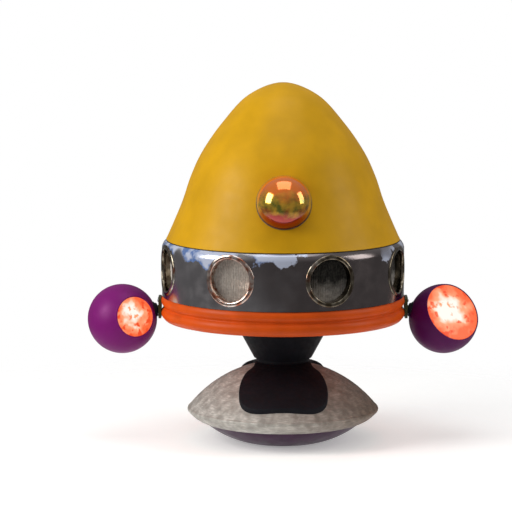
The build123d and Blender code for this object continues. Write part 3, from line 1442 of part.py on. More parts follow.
def guide_block(first, depth):
    """A block for the rod to run in, standing on the frame's top."""
    with BuildPart() as block:
        with BuildSketch(bolt_plane.offset(-GUIDE_HALF_T)):
            with Locations((-first - GUIDE_W / 2, -0.5)):
                Rectangle(GUIDE_W, GUIDE_HEIGHT)
        extrude(amount=depth)
    return block.part


with BuildPart() as door_frame:
    with BuildSketch(Plane.XY.offset(DOOR_Z)):
        Circle(DOOR_FRAME_OUT)
        Circle(DOOR_FRAME_OUT - DOOR_FRAME_T, mode=Mode.SUBTRACT)
    extrude(amount=FRAME_TOP_Z - DOOR_Z)
    add(door_slab(DOOR_HALF - MOVING_GAP - DOOR_FRAME_INSET, DOOR_Z, BAND_TOP_Z), mode=Mode.INTERSECT)
    with BuildSketch(radial_plane(DOOR_PORT_ANGLE, BAND_R + 20, PORT_Z)):
        Rectangle(2 * PORT_FLANGE_R, 4 * PORT_FLANGE_R)
    extrude(amount=-60, mode=Mode.SUBTRACT)
    for guide_back in GUIDE_BACKS:
        add(guide_block(-guide_back, 2 * GUIDE_HALF_T))
    add(bolt_rod(BOLT_ROD_R + RUNNING_GAP, -BOLT_TAIL - GUIDE_W, 20), mode=Mode.SUBTRACT)
save(door_frame.part, "door_frame")

with BuildPart() as door_bolt:
    add(bolt_rod(BOLT_ROD_R, -BOLT_TAIL, 1))
    with BuildSketch(bolt_plane):
        with Locations((KNOB_BACK, 0)):
            Circle(KNOB_SHANK_R)
    extrude(amount=-KNOB_SHANK)
    with BuildSketch(bolt_plane.offset(-KNOB_SHANK + 2)):
        with Locations((KNOB_BACK, 0)):
            Circle(KNOB_R)
    extrude(amount=-KNOB_T)
save(door_bolt.part, "door_bolt")

save(porthole_bezel(DOOR_PORT_ANGLE), "door_bezel")
save(porthole_screen(DOOR_PORT_ANGLE), "door_screen")

# Lift-off hinges: posts with their pins on the band, and knuckles on the door.
hinge_spot = (HINGE_X, HINGE_Y)


def hinge_leaf(z, side):
    """A curved leaf on the band's outside, from the hinge towards one side of it."""
    with BuildPart() as leaf:
        with BuildSketch(Plane.XY.offset(z)):
            with BuildLine():
                turns = [radians(HINGE_ANGLE + side * t) for t in (0.4, LEAF_TURN / 2, LEAF_TURN)]
                near_r = BAND_R + SEAT_GAP
                far_r = near_r + LEAF_T
                near = ThreePointArc(*[(near_r * sin(t), -near_r * cos(t)) for t in turns])
                far = ThreePointArc(*[(far_r * sin(t), -far_r * cos(t)) for t in turns])
                Line(near @ 0, far @ 0)
                Line(near @ 1, far @ 1)
            make_face()
        extrude(amount=KNUCKLE)
    return leaf.part


with BuildPart() as bolt_keeper:
    add(guide_block(KEEPER_BACK, BOLT_INSET + GUIDE_HALF_T))
    with BuildSketch(Plane.XY.offset(SILL_Z)):
        Circle(BAND_R - BAND_WALL)
    extrude(amount=BAND_TOP_Z - SILL_Z, mode=Mode.INTERSECT)
    add(bolt_rod(BOLT_ROD_R + 0.5, 0, KEEPER_BACK + BOLT_TRAVEL + 8), mode=Mode.SUBTRACT)

with BuildPart() as doorway_fittings:
    for z in HINGE_ZS:
        with BuildSketch(Plane.XY.offset(z - KNUCKLE)):
            with Locations(hinge_spot):
                Circle(HINGE_R)
        extrude(amount=KNUCKLE)
        with BuildSketch(Plane.XY.offset(z)):
            with Locations(hinge_spot):
                Circle(HINGE_PIN_R)
        extrude(amount=KNUCKLE)
        add(hinge_leaf(z - KNUCKLE, 1))
    add(bolt_keeper.part)
save(doorway_fittings.part, "doorway_fittings")

with BuildPart() as door_hinges:
    for z in HINGE_ZS:
        with BuildSketch(Plane.XY.offset(z + SEAT_GAP)):
            with Locations(hinge_spot):
                Circle(HINGE_R)
        extrude(amount=KNUCKLE + KNUCKLE_CAP)
        add(hinge_leaf(z + SEAT_GAP, -1))
        with BuildSketch(Plane.XY.offset(z)):
            with Locations(hinge_spot):
                Circle(HINGE_PIN_R + RUNNING_GAP)
        extrude(amount=KNUCKLE + SEAT_GAP, mode=Mode.SUBTRACT)
save(door_hinges.part, "door_hinges")
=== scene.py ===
"""Saucer kiddie ride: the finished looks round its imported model."""

from math import acos, asin, cos, degrees, pi, radians, sin, sqrt

import bpy
from bpy.props import FloatProperty, FloatVectorProperty, IntProperty, PointerProperty
from bpy.types import Operator, Panel, PropertyGroup
from mathutils import Matrix, Vector


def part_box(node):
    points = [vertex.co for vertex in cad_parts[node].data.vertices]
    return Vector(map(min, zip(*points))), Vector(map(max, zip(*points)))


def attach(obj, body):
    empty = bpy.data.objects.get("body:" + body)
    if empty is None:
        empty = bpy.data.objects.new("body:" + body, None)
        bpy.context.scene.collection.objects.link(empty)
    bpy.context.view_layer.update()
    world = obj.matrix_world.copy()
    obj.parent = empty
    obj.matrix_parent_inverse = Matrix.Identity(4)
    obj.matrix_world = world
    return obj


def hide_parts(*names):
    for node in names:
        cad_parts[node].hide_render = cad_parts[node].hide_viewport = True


bl_info = {
    "name": "Saucer kiddie ride",
    "version": (1, 0, 0),
    "blender": (4, 5, 0),
    "location": "3D View > Sidebar > Kiddie ride",
    "description": "Builds the looks of a rocking saucer ride round its packed model",
    "category": "Object",
}

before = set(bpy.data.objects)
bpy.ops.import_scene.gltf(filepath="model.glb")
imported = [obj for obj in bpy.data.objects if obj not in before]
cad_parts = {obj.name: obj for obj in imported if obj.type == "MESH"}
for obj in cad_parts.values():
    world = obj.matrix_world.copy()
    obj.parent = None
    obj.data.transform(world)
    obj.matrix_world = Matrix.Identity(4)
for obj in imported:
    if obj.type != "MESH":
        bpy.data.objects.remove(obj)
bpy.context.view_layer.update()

MM = 0.001

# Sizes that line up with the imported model: lengths in metres, angles in degrees unless said
BAND_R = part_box("window_band")[1].x
BAND_TOP_R = 0.490
DOME_LOW, DOME_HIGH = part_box("dome_shell")
DOME_WALL = 0.008
# Dome curve: share of the foot's radius and share of the height
DOME_CURVE = (
    (1.0, 0.0),
    (0.929, 0.120),
    (0.857, 0.250),
    (0.788, 0.403),
    (0.690, 0.559),
    (0.522, 0.740),
    (0.296, 0.919),
    (0.0, 1.0),
)
FOOT_CHAMFER = 0.002
ARCH_HALF = 0.205
ARCH_SPRING_Z = 1.080
DOORWAY_REACH = 0.6

PORT_Z = 0.738
PORT_BORE_R = 0.088
PORT_FLANGE_R = 0.107
PORT_ANGLES = (-26, 22, -74, 70, -122, 118)
DOOR_PORT_ANGLE = 180
SCREEN_DEPTH = 0.0435

NOSE_Z = 1.050
NOSE_TILT = radians(20)
NOSE_CENTRE = (0, -0.407, NOSE_Z)
NOSE_OUT = Vector((0, -cos(NOSE_TILT), sin(NOSE_TILT)))
NOSE_R = 0.111
NOSE_WALL = 0.004
NOSE_RIM = -0.010
NOSE_HOLE_R = 0.055

LAMP_R = 0.146
LAMP_WALL = 0.004
SPOT_LENS_R = 0.087
FLOOD_LENS_R = 0.128
SPOT_AIM = Vector((0.496, -0.846, 0.195)).normalized()
FLOOD_AIM = Vector((0.492, -0.715, 0.496)).normalized()
ARM_TURN = radians(16.31)

CUSHION_LOW, CUSHION_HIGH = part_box("seat_cushion")
# Heights of the cushion's welts above its underside
WELT_HEIGHTS = {"upper_welt": 0.040, "lower_welt": 0.008}

WHEEL_R = 0.112
WHEEL_TUBE_R = 0.011
WHEEL_CENTRE = (0, -0.2151, 0.9629)
WHEEL_TURN = acos(0.447214)

COIN_ANGLE = 142.5
COIN_Z = 0.7335
BRACKET_X = 0.5232

# Each light's place, size, power and colour
LIGHTS = {
    "key_left": ((-3.9, -1.7, 2.4), (2.2, 2.6), 150, (1, 0.98, 0.95)),
    "rim_right": ((3.7, -0.9, 2.2), (1.6, 2.6), 48, (1, 0.97, 0.94)),
    "top_fill": ((0, -0.5, 4.2), (2.5, 2.5), 35, (0.96, 0.98, 1)),
}
LIGHT_TARGET = Vector((0, 0, 0.8))
CAMERA_PLACE = (-0.1134, -11.897, 2.346)
CAMERA_TARGET = Vector((-0.1134, 0, 0.7795))
CAMERA_LENS = 200.9
CAMERA_SENSOR = 36


def lamp_centre(side):
    """The middle of a lamp's ball, from the outermost point of its shell."""
    low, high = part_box(f"{side}_lamp_shell")
    x = low.x + LAMP_R if side == "left" else high.x - LAMP_R
    return Vector((x, 0, (low.z + high.z) / 2))


LAMP_CENTRES = {side: lamp_centre(side) for side in ("left", "right")}


# ---------------------------------------------------------------- settings
def linear(code):
    """An sRGB hex colour as linear RGBA."""
    channels = [int(code[n:n + 2], 16) / 255 for n in (1, 3, 5)]
    curved = [c / 12.92 if c <= 0.04045 else ((c + 0.055) / 1.055) ** 2.4 for c in channels]
    return (*curved, 1)


class RideSizes(PropertyGroup):
    """Sizes of the details that the looks add."""

    rim_height: FloatProperty(
        name="Porthole rim height", description="How far a porthole's rolled rim stands off the band",
        default=0.0048, min=0.002, max=0.005, unit="LENGTH")
    rib_pitch: FloatProperty(
        name="Screen rib pitch", description="Distance between the ribs of a porthole's screen",
        default=0.0077, min=0.004, max=0.02, unit="LENGTH")
    lens_bulge: FloatProperty(
        name="Lens bulge", description="How far a lamp's lens bulges past its rim",
        default=0.006, min=0.0, max=0.012, unit="LENGTH")
    piping: FloatProperty(
        name="Piping radius", description="Radius of the piping sewn round the seat cushion",
        default=0.003, min=0.002, max=0.008, unit="LENGTH")
    puff_limit: FloatProperty(
        name="Cushion puff", description="The most that the cushion's cover may swell",
        default=0.007, min=0.002, max=0.016, unit="LENGTH")
    grips: IntProperty(
        name="Finger grips", description="Number of finger grips round the steering wheel",
        default=24, min=12, max=36)


class RideColours(PropertyGroup):
    """Colours of the finishes."""

    dome: FloatVectorProperty(
        name="Dome", description="Gel coat of the dome", subtype="COLOR", size=3,
        default=linear("#D09C04")[:3])
    skirt: FloatVectorProperty(
        name="Skirt", description="Gel coat of the skirt", subtype="COLOR", size=3,
        default=linear("#D45008")[:3])
    hull: FloatVectorProperty(
        name="Hull", description="Enamel of the dish under the saucer", subtype="COLOR", size=3,
        default=linear("#320430")[:3])
    left_lamp: FloatVectorProperty(
        name="Left lamp", description="Paint of the left lamp's shell", subtype="COLOR", size=3,
        default=linear("#76146A")[:3])
    # The right lamp's colour is the left's magenta darkened by painted shade
    right_lamp: FloatVectorProperty(
        name="Right lamp", description="Paint of the right lamp's shell", subtype="COLOR", size=3,
        default=linear("#560A50")[:3])
    cushion: FloatVectorProperty(
        name="Cushion", description="Vinyl of the seat cushion", subtype="COLOR", size=3,
        default=linear("#26262A")[:3])
    glow: FloatProperty(
        name="Lens glow", description="Brightness of the lit lamp lenses", default=1.05, min=0.0, max=20.0)


class RideSettings(PropertyGroup):
    """Everything a user may change."""

    sizes: PointerProperty(type=RideSizes)
    colours: PointerProperty(type=RideColours)


# ---------------------------------------------------------------- modelling helpers
def clear_selection():
    """Leaves edit mode and deselects all, because an operator acts on whatever is selected."""
    if bpy.context.object and bpy.context.object.mode != "OBJECT":
        bpy.ops.object.mode_set(mode="OBJECT")
    bpy.ops.object.select_all(action="DESELECT")


def pick(piece):
    """Makes one piece the only selected and active object."""
    clear_selection()
    piece.select_set(True)
    bpy.context.view_layer.objects.active = piece


def drawn_line(name, points):
    """A new object in edit mode that holds one line of edges through 3-D points."""
    clear_selection()
    bpy.ops.mesh.primitive_plane_add(size=0.01)
    piece = bpy.context.object
    piece.name = name
    bpy.ops.object.mode_set(mode="EDIT")
    bpy.ops.mesh.select_all(action="SELECT")
    bpy.ops.mesh.merge(type="CENTER")
    bpy.ops.transform.translate(value=points[0])
    for here, there in zip(points, points[1:]):
        step = Vector(there) - Vector(here)
        bpy.ops.mesh.extrude_region_move(TRANSFORM_OT_translate={"value": step})
    bpy.ops.mesh.select_all(action="SELECT")
    return piece


def turned(name, profile, steps=96):
    """A piece spun about Z from a line of (radius, height) points, closed or from axis to axis."""
    piece = drawn_line(name, [(radius, 0, height) for radius, height in profile])
    bpy.ops.mesh.spin(steps=steps, angle=2 * pi, center=(0, 0, 0), axis=(0, 0, 1))
    bpy.ops.mesh.select_all(action="SELECT")
    bpy.ops.mesh.remove_doubles(threshold=1e-5)
    bpy.ops.mesh.normals_make_consistent(inside=False)
    bpy.ops.object.mode_set(mode="OBJECT")
    return piece


def plug(name, radius, half_depth, steps):
    """A round plug about Z to cut with."""
    line = [(0, -half_depth), (radius, -half_depth), (radius, half_depth), (0, half_depth)]
    return turned(name, line, steps)


def bar(name, outline, depth):
    """A straight bar from a closed outline of (x, y) points, extruded along Z."""
    closed = [(x, y, 0) for x, y in [*outline, outline[0]]]
    piece = drawn_line(name, closed)
    bpy.ops.mesh.remove_doubles(threshold=1e-6)
    bpy.ops.mesh.edge_face_add()
    bpy.ops.mesh.extrude_region_move(TRANSFORM_OT_translate={"value": (0, 0, depth)})
    bpy.ops.mesh.select_all(action="SELECT")
    bpy.ops.mesh.normals_make_consistent(inside=False)
    bpy.ops.object.mode_set(mode="OBJECT")
    return piece


def apply_modifier(piece, kind, **settings):
    """Adds a modifier with its settings and applies it."""
    modifier = piece.modifiers.new("step", kind)
    for key, value in settings.items():
        setattr(modifier, key, value)
    pick(piece)
    bpy.ops.object.modifier_apply(modifier=modifier.name)


def cut(piece, cutter, operation="DIFFERENCE"):
    """Cuts one piece with another, which is used up."""
    apply_modifier(piece, "BOOLEAN", object=cutter, operation=operation, solver="EXACT")
    bpy.data.objects.remove(cutter, do_unlink=True)


def joined(name, pieces):
    """Several pieces as one object."""
    clear_selection()
    for piece in pieces:
        piece.select_set(True)
    bpy.context.view_layer.objects.active = pieces[0]
    bpy.ops.object.join()
    pieces[0].name = name
    return pieces[0]


def copied(model, name, place=None):
    """A copy of a piece with a mesh of its own, moved to a place."""
    copy = bpy.data.objects.new(name, model.data.copy())
    bpy.context.scene.collection.objects.link(copy)
    if place is not None:
        copy.data.transform(place)
    return copy


def smooth(piece, angle):
    """Smooth shading that keeps edges sharper than an angle in degrees."""
    pick(piece)
    bpy.ops.object.shade_smooth_by_angle(angle=radians(angle))


def facing(direction, origin=(0, 0, 0)):
    """Turns local Z to a direction and moves the origin to a place."""
    turn = Vector(direction).to_track_quat("Z", "Y").to_matrix().to_4x4()
    return Matrix.Translation(Vector(origin)) @ turn


def wall_frame(angle, distance, height):
    """A frame on the cabin's wall: X along it, Y up and Z outwards."""
    turn = radians(angle)
    out = Vector((sin(turn), -cos(turn), 0))
    along = Vector((cos(turn), sin(turn), 0))
    up = Vector((0, 0, 1))
    place = Matrix((along, up, out)).transposed().to_4x4()
    place.translation = out * distance + up * height
    return place


def arc(centre, radius, start, end, pieces):
    """Points along a circle's arc in the (radius, height) plane, its angles in degrees."""
    turns = [radians(start + (end - start) * n / pieces) for n in range(pieces + 1)]
    return [(centre[0] + radius * cos(t), centre[1] + radius * sin(t)) for t in turns]


def degrees_of(share):
    """The angle in degrees whose sine is a share."""
    return degrees(asin(max(-1, min(1, share))))


def smooth_curve(points, pieces):
    """A smooth line through (radius, height) points, level at its last one."""
    first = (2 * points[0][0] - points[1][0], 2 * points[0][1] - points[1][1])
    mirrored = (-points[-2][0], points[-2][1])
    line = [first, *points, mirrored]
    found = []
    for a, b, c, d in zip(line, line[1:], line[2:], line[3:]):
        for n in range(pieces):
            t = n / pieces
            weights = (
                -t + 2 * t * t - t**3, 2 - 5 * t * t + 3 * t**3, t + 4 * t * t - 3 * t**3, -t * t + t**3)
            sums = [sum(w * p[k] for w, p in zip(weights, (a, b, c, d))) for k in (0, 1)]
            found.append((sums[0] / 2, sums[1] / 2))
    return [*found, points[-1]]


def finish(piece, body, material, slot, *nodes):
    """Gives a piece its material and the body it rides on, and hides the nodes it stands for; the slot is not
    used.
    """
    piece.data.materials.clear()
    piece.data.materials.append(material)
    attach(piece, body)
    if nodes:
        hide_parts(*nodes)
    return piece


# ---------------------------------------------------------------- material helpers
def shade(colour, share):
    """A colour made darker or lighter by a share."""
    return (*[min(1, channel * share) for channel in tuple(colour)[:3]], 1)


def set_inputs(tree, node, inputs):
    """Sets or links inputs by name, or in order for a list. A node as a value stands for its output."""
    in_use = [socket for socket in node.inputs if socket.enabled]
    for key, value in inputs.items() if isinstance(inputs, dict) else enumerate(inputs):
        socket = node.inputs[key] if isinstance(key, str) else in_use[key]
        if isinstance(value, bpy.types.Node):
            value = next(output for output in value.outputs if output.enabled)
        if isinstance(value, bpy.types.NodeSocket):
            tree.links.new(value, socket)
        else:
            socket.default_value = value


def add_node(tree, kind, inputs=(), **settings):
    """Adds a node with its settings and its inputs."""
    node = tree.nodes.new("ShaderNode" + kind)
    for key, value in settings.items():
        setattr(node, key, value)
    set_inputs(tree, node, inputs)
    return node


def new_finish(name, uniform):
    """A material, its tree, its Object coordinates and its shader with the inputs that are uniform."""
    material = bpy.data.materials.get(name) or bpy.data.materials.new(name)
    material.use_nodes = True
    tree = material.node_tree
    tree.nodes.clear()
    place = add_node(tree, "TexCoord").outputs["Object"]
    shader = add_node(tree, "BsdfPrincipled", uniform)
    add_node(tree, "OutputMaterial", {"Surface": shader})
    return material, tree, place, shader


def patches(tree, place, size, low, high, detail=4):
    """Patches of a real size in metres, as a number from low to high."""
    noise = add_node(tree, "TexNoise", {"Vector": place, "Scale": 1 / size, "Detail": detail})
    return add_node(tree, "MapRange", [noise, 0.35, 0.65, low, high])


def clouded(tree, place, size, first, second, detail=4):
    """A colour that wanders between two in patches of a real size."""
    cloud = patches(tree, place, size, 0, 1, detail)
    return add_node(tree, "Mix", [cloud, first, second], data_type="RGBA")


def relief(tree, place, size, depth, strength=1.0, detail=3):
    """A fine bump of a real grain size and depth in metres."""
    noise = add_node(tree, "TexNoise", {"Vector": place, "Scale": 1 / size, "Detail": detail})
    return add_node(tree, "Bump", {"Strength": strength, "Distance": depth, "Height": noise})


# ---------------------------------------------------------------- finishes
def gel_coat(name, colour, cloud_size=160 * MM):
    """Glass fibre in gel coat: satin gloss over cloudy pigment, with a faint orange peel."""
    material, tree, place, shader = new_finish(
        name, {"IOR": 1.5, "Coat Weight": 0.04, "Coat Roughness": 0.3, "Specular IOR Level": 0.16})
    set_inputs(tree, shader, {
        "Base Color": clouded(tree, place, cloud_size, shade(colour, 0.90), shade(colour, 1.06)),
        "Roughness": patches(tree, place, 45 * MM, 0.40, 0.50),
        "Normal": relief(tree, place, 5 * MM, 0.15 * MM, 0.3)})
    return material


def moulded_polythene(name, colour, grain=4 * MM):
    """Rotomoulded polythene: soft sheen, slightly uneven colour and a pebbled skin."""
    material, tree, place, shader = new_finish(name, {"IOR": 1.51})
    set_inputs(tree, shader, {
        "Base Color": clouded(tree, place, 90 * MM, shade(colour, 0.85), shade(colour, 1.08)),
        "Roughness": patches(tree, place, 25 * MM, 0.42, 0.56),
        "Normal": relief(tree, place, grain, 0.2 * MM, 0.4)})
    return material


def smoked_chrome():
    """Smoked chrome on the band: a dark mirror with painted shade that makes it darker and browner to the
    right, and a painted pale blue reflection in jagged patches.
    """
    material, tree, place, shader = new_finish("smoked_chrome", {"Coat Weight": 0.3, "Coat Roughness": 0.05})
    axes = add_node(tree, "SeparateXYZ", [place]).outputs
    # The painted reflection's lower edge: jagged, and higher to the right
    jagged = patches(tree, place, 75 * MM, -0.05, 0.05, 5)
    level = add_node(tree, "Math", [axes["Z"], jagged], operation="ADD")
    slope = add_node(tree, "MapRange", [axes["X"], -0.42, 0.12, 0.020, -0.030])
    sloped = add_node(tree, "Math", [level, slope], operation="ADD")
    above_edge = add_node(tree, "MapRange", [sloped, 0.800, 0.812])
    broken = add_node(tree, "MapRange", [patches(tree, place, 240 * MM, 0, 1, 1), 0.30, 0.45])
    # Painted reflection: pale blue patches high on the band, paler towards their top and less metallic
    painted_reflection = add_node(tree, "Math", [above_edge, broken], operation="MULTIPLY")
    wavering = patches(tree, place, 200 * MM, -0.12, 0.12)
    across = add_node(tree, "Math", [axes["X"], wavering], operation="ADD")
    side = add_node(tree, "MapRange", [across, -0.28, 0.10])
    # Painted shade: the chrome is lighter to the left and darker and browner to the right
    chrome_with_painted_shade = add_node(tree, "Mix", [side, linear("#ABA9AC"), linear("#736B6B")], data_type="RGBA")
    rise = add_node(tree, "Math", [level, patches(tree, place, 60 * MM, -0.01, 0.01)], operation="ADD")
    paler = add_node(tree, "MapRange", [rise, 0.805, 0.835])
    blue = add_node(tree, "Mix", [paler, linear("#5A78B0"), linear("#C3CBE0")], data_type="RGBA")
    reflection_diffuse_share = add_node(tree, "Math", [painted_reflection, 0.75], operation="MULTIPLY")
    set_inputs(tree, shader, {
        "Base Color": add_node(tree, "Mix", [painted_reflection, chrome_with_painted_shade, blue], data_type="RGBA"),
        "Metallic": add_node(tree, "Math", [1, reflection_diffuse_share], operation="SUBTRACT"),
        "Roughness": patches(tree, place, 60 * MM, 0.14, 0.26)})
    return material


def copper_chrome():
    """Chrome on the porthole rims with painted light and shade: near-white painted highlights and copper
    painted reflections in patches on the front left, and darker bronze painted shade to the right and round
    the far left.
    """
    material, tree, place, shader = new_finish("chrome_with_painted_light", {"Metallic": 1.0})
    x = add_node(tree, "SeparateXYZ", [place]).outputs["X"]
    across = add_node(tree, "Math", [x, patches(tree, place, 60 * MM, -0.08, 0.08)], operation="ADD")
    # Painted reflection: patches that swap near-white for copper, and pale for dark bronze
    wear_and_reflection = patches(tree, place, 26 * MM, 0, 1, 3)
    painted_light_colours = add_node(tree, "Mix", [wear_and_reflection, linear("#F0EAE2"), linear("#A8684E")], data_type="RGBA")
    dull = add_node(tree, "Mix", [wear_and_reflection, linear("#8F8778"), linear("#4E4436")], data_type="RGBA")
    # Painted shade: the rims take the dull colours to the right and round the far left
    right = add_node(tree, "MapRange", [across, -0.05, 0.12])
    left_edge = add_node(tree, "MapRange", [across, -0.36, -0.44])
    far = add_node(tree, "Math", [right, left_edge], operation="ADD")
    set_inputs(tree, shader, {
        "Base Color": add_node(tree, "Mix", [far, painted_light_colours, dull], data_type="RGBA"),
        "Roughness": patches(tree, place, 9 * MM, 0.08, 0.20)})
    return material


def ribbed_screen():
    """Pressed steel screen over its modelled ribs: silver to the left, and painted shade that turns it black
    above the foot to the right.
    """
    material, tree, place, shader = new_finish("pressed_screen_steel", {"Metallic": 0.55})
    axes = add_node(tree, "SeparateXYZ", [place]).outputs
    right = add_node(tree, "MapRange", [axes["X"], -0.02, 0.12])
    uneven = patches(tree, place, 30 * MM, -0.015, 0.015)
    height = add_node(tree, "Math", [axes["Z"], uneven], operation="ADD")
    above_foot = add_node(tree, "MapRange", [height, 0.66, 0.735])
    # Painted shade: the screens to the right go black above their foot
    painted_shade_mask = add_node(tree, "Math", [right, above_foot], operation="MULTIPLY")
    mesh = patches(tree, place, 9 * MM, 0, 1, 2)
    silver = add_node(tree, "Mix", [mesh, linear("#D6D0C8"), linear("#BAB3AB")], data_type="RGBA")
    black = add_node(tree, "Mix", [mesh, linear("#4A4843"), linear("#24231F")], data_type="RGBA")
    set_inputs(tree, shader, {
        "Base Color": add_node(tree, "Mix", [painted_shade_mask, silver, black], data_type="RGBA"),
        "Roughness": patches(tree, place, 12 * MM, 0.34, 0.50),
        "Normal": relief(tree, place, 2 * MM, 0.1 * MM, 0.3)})
    return material


def scuffed_steel(name, light, dark, shine=0.3):
    """Hammered and scuffed paint on steel: cloudy grey with fine scratches that run round it, and painted
    shade that makes it darker and browner to the right.
    """
    material, tree, place, shader = new_finish(name, {"Metallic": shine, "Specular IOR Level": 0.4})
    cloud = patches(tree, place, 34 * MM, 0, 1, 6)
    flat = add_node(tree, "Mapping", {"Vector": place, "Scale": (1, 1, 14)})
    scratches = patches(tree, flat, 30 * MM, 0.2, 1, 8)
    mixed = add_node(tree, "Math", [cloud, scratches], operation="MULTIPLY")
    greys = add_node(tree, "Mix", [mixed, linear(dark), linear(light)], data_type="RGBA")
    # Painted shade: the grey is multiplied darker and browner towards the right
    x = add_node(tree, "SeparateXYZ", [place]).outputs["X"]
    right = add_node(tree, "MapRange", [x, -0.1, 0.38])
    greys_with_painted_shade = add_node(
        tree, "Mix", [right, greys, linear("#A48E7E")], data_type="RGBA", blend_type="MULTIPLY")
    set_inputs(tree, shader, {
        "Base Color": greys_with_painted_shade,
        "Roughness": patches(tree, flat, 22 * MM, 0.44, 0.62, 6),
        "Normal": relief(tree, flat, 9 * MM, 0.15 * MM, 0.4)})
    return material


def enamel(name, colour, gloss=0.3):
    """Stoved enamel: soft gloss with a slight ripple and a little dust."""
    material, tree, place, shader = new_finish(
        name, {"IOR": 1.5, "Coat Weight": 0.06, "Coat Roughness": 0.25, "Specular IOR Level": 0.2})
    set_inputs(tree, shader, {
        "Base Color": clouded(tree, place, 70 * MM, shade(colour, 0.85), shade(colour, 1.15), 2),
        "Roughness": patches(tree, place, 60 * MM, gloss, gloss + 0.12, 2),
        "Normal": relief(tree, place, 25 * MM, 0.1 * MM, 0.2)})
    return material


def lamp_paint(name, colour):
    """Satin paint on the lamp shells: even, with a touch of pearl and a fine mist of overspray."""
    material, tree, place, shader = new_finish(
        name, {"Metallic": 0.1, "Coat Weight": 0.03, "Coat Roughness": 0.25, "Specular IOR Level": 0.15})
    set_inputs(tree, shader, {
        "Base Color": clouded(tree, place, 2.5 * MM, shade(colour, 0.92), shade(colour, 1.15), 1),
        "Roughness": patches(tree, place, 40 * MM, 0.42, 0.52)})
    return material


def black_abs(name="grained_black_abs", tone="#151519", grain=1.5 * MM):
    """Black ABS with a moulded leather grain: matt, slightly blue, paler where it is rubbed."""
    material, tree, place, shader = new_finish(name, {"IOR": 1.53, "Specular IOR Level": 0.15})
    set_inputs(tree, shader, {
        "Base Color": clouded(tree, place, 60 * MM, linear(tone), shade(linear(tone), 1.5)),
        "Roughness": patches(tree, place, 20 * MM, 0.55, 0.70),
        "Normal": relief(tree, place, grain, 0.15 * MM, 0.5)})
    return material


def rubber(name="extruded_rubber", tone="#1A1918"):
    """Extruded rubber: dull, dark and faintly dusty."""
    material, tree, place, shader = new_finish(name, {"IOR": 1.52})
    set_inputs(tree, shader, {
        "Base Color": clouded(tree, place, 15 * MM, linear(tone), shade(linear(tone), 1.9)),
        "Roughness": patches(tree, place, 8 * MM, 0.65, 0.85),
        "Normal": relief(tree, place, 1.2 * MM, 0.1 * MM, 0.4)})
    return material


def zinc_steel(name="zinc_plated_steel", light="#A9ABAD", dark="#77797C"):
    """Zinc-plated steel: grey spangle and a dull shine."""
    material, tree, place, shader = new_finish(name, {"Metallic": 1.0})
    set_inputs(tree, shader, {
        "Base Color": clouded(tree, place, 7 * MM, linear(light), linear(dark), 2),
        "Roughness": patches(tree, place, 5 * MM, 0.30, 0.45),
        "Normal": relief(tree, place, 3 * MM, 0.05 * MM, 0.3)})
    return material


def mirror_lens():
    """Half-silvered glass on the nose, tinted orange-red, with painted reflection in bands by height: amber
    above, green-gold round the middle and ruby below.
    """
    material, tree, place, shader = new_finish(
        "half_silvered_amber_glass", {"Metallic": 0.65, "Coat Weight": 1.0, "Coat Roughness": 0.03})
    height = add_node(tree, "SeparateXYZ", [place]).outputs["Z"]
    ripple = patches(tree, place, 45 * MM, -0.014, 0.014, 2)
    level = add_node(tree, "Math", [height, ripple], operation="ADD")
    # Painted reflection: the colour runs in bands by height, amber above, green-gold round the middle and
    # ruby below
    upper = add_node(tree, "MapRange", [level, NOSE_Z + 0.012, NOSE_Z + 0.055])
    lower = add_node(tree, "MapRange", [level, NOSE_Z - 0.050, NOSE_Z - 0.012])
    reflected_belt = clouded(tree, place, 28 * MM, linear("#F0B832"), linear("#7A7A1C"))
    below = add_node(tree, "Mix", [lower, linear("#A81C08"), reflected_belt], data_type="RGBA")
    set_inputs(tree, shader, {
        "Base Color": add_node(tree, "Mix", [upper, below, linear("#F57A16")], data_type="RGBA"),
        "Roughness": patches(tree, place, 30 * MM, 0.08, 0.16)})
    return material


def lit_lens(name, centre, glow, hot_reach, blotch_size):
    """Frosted acrylic with its lamp lit: white-hot near the lamp, in orange and red blotches round it."""
    material, tree, place, shader = new_finish(
        name, {"Roughness": 0.35, "Emission Strength": glow, "Base Color": linear("#5A1C0C"),
               "Specular IOR Level": 0.2})
    moved = add_node(tree, "Mapping", {"Vector": place, "Location": tuple(-c for c in centre)})
    away = add_node(tree, "VectorMath", [moved], operation="LENGTH")
    ragged = patches(tree, place, blotch_size, -0.3 * hot_reach, 0.5 * hot_reach, 2)
    reach = add_node(tree, "Math", [away, ragged], operation="ADD")
    hot = add_node(tree, "MapRange", [reach, 0.6 * hot_reach, 1.15 * hot_reach])
    warm = add_node(tree, "MapRange", [reach, 0.9 * hot_reach, 1.8 * hot_reach])
    spots = add_node(tree, "MapRange", [patches(tree, place, 0.55 * blotch_size, 0, 1, 2), 0.70, 1.0])
    outer = add_node(tree, "Mix", [warm, linear("#FFB488"), linear("#F4683A")], data_type="RGBA")
    outer = add_node(tree, "Mix", [spots, outer, linear("#E84E26")], data_type="RGBA")
    white = add_node(tree, "Mix", [spots, linear("#FDF6EC"), linear("#F9A070")], data_type="RGBA")
    set_inputs(tree, shader, {
        "Emission Color": add_node(tree, "Mix", [hot, white, outer], data_type="RGBA"),
        "Normal": relief(tree, place, 3 * MM, 0.2 * MM, 0.4)})
    return material


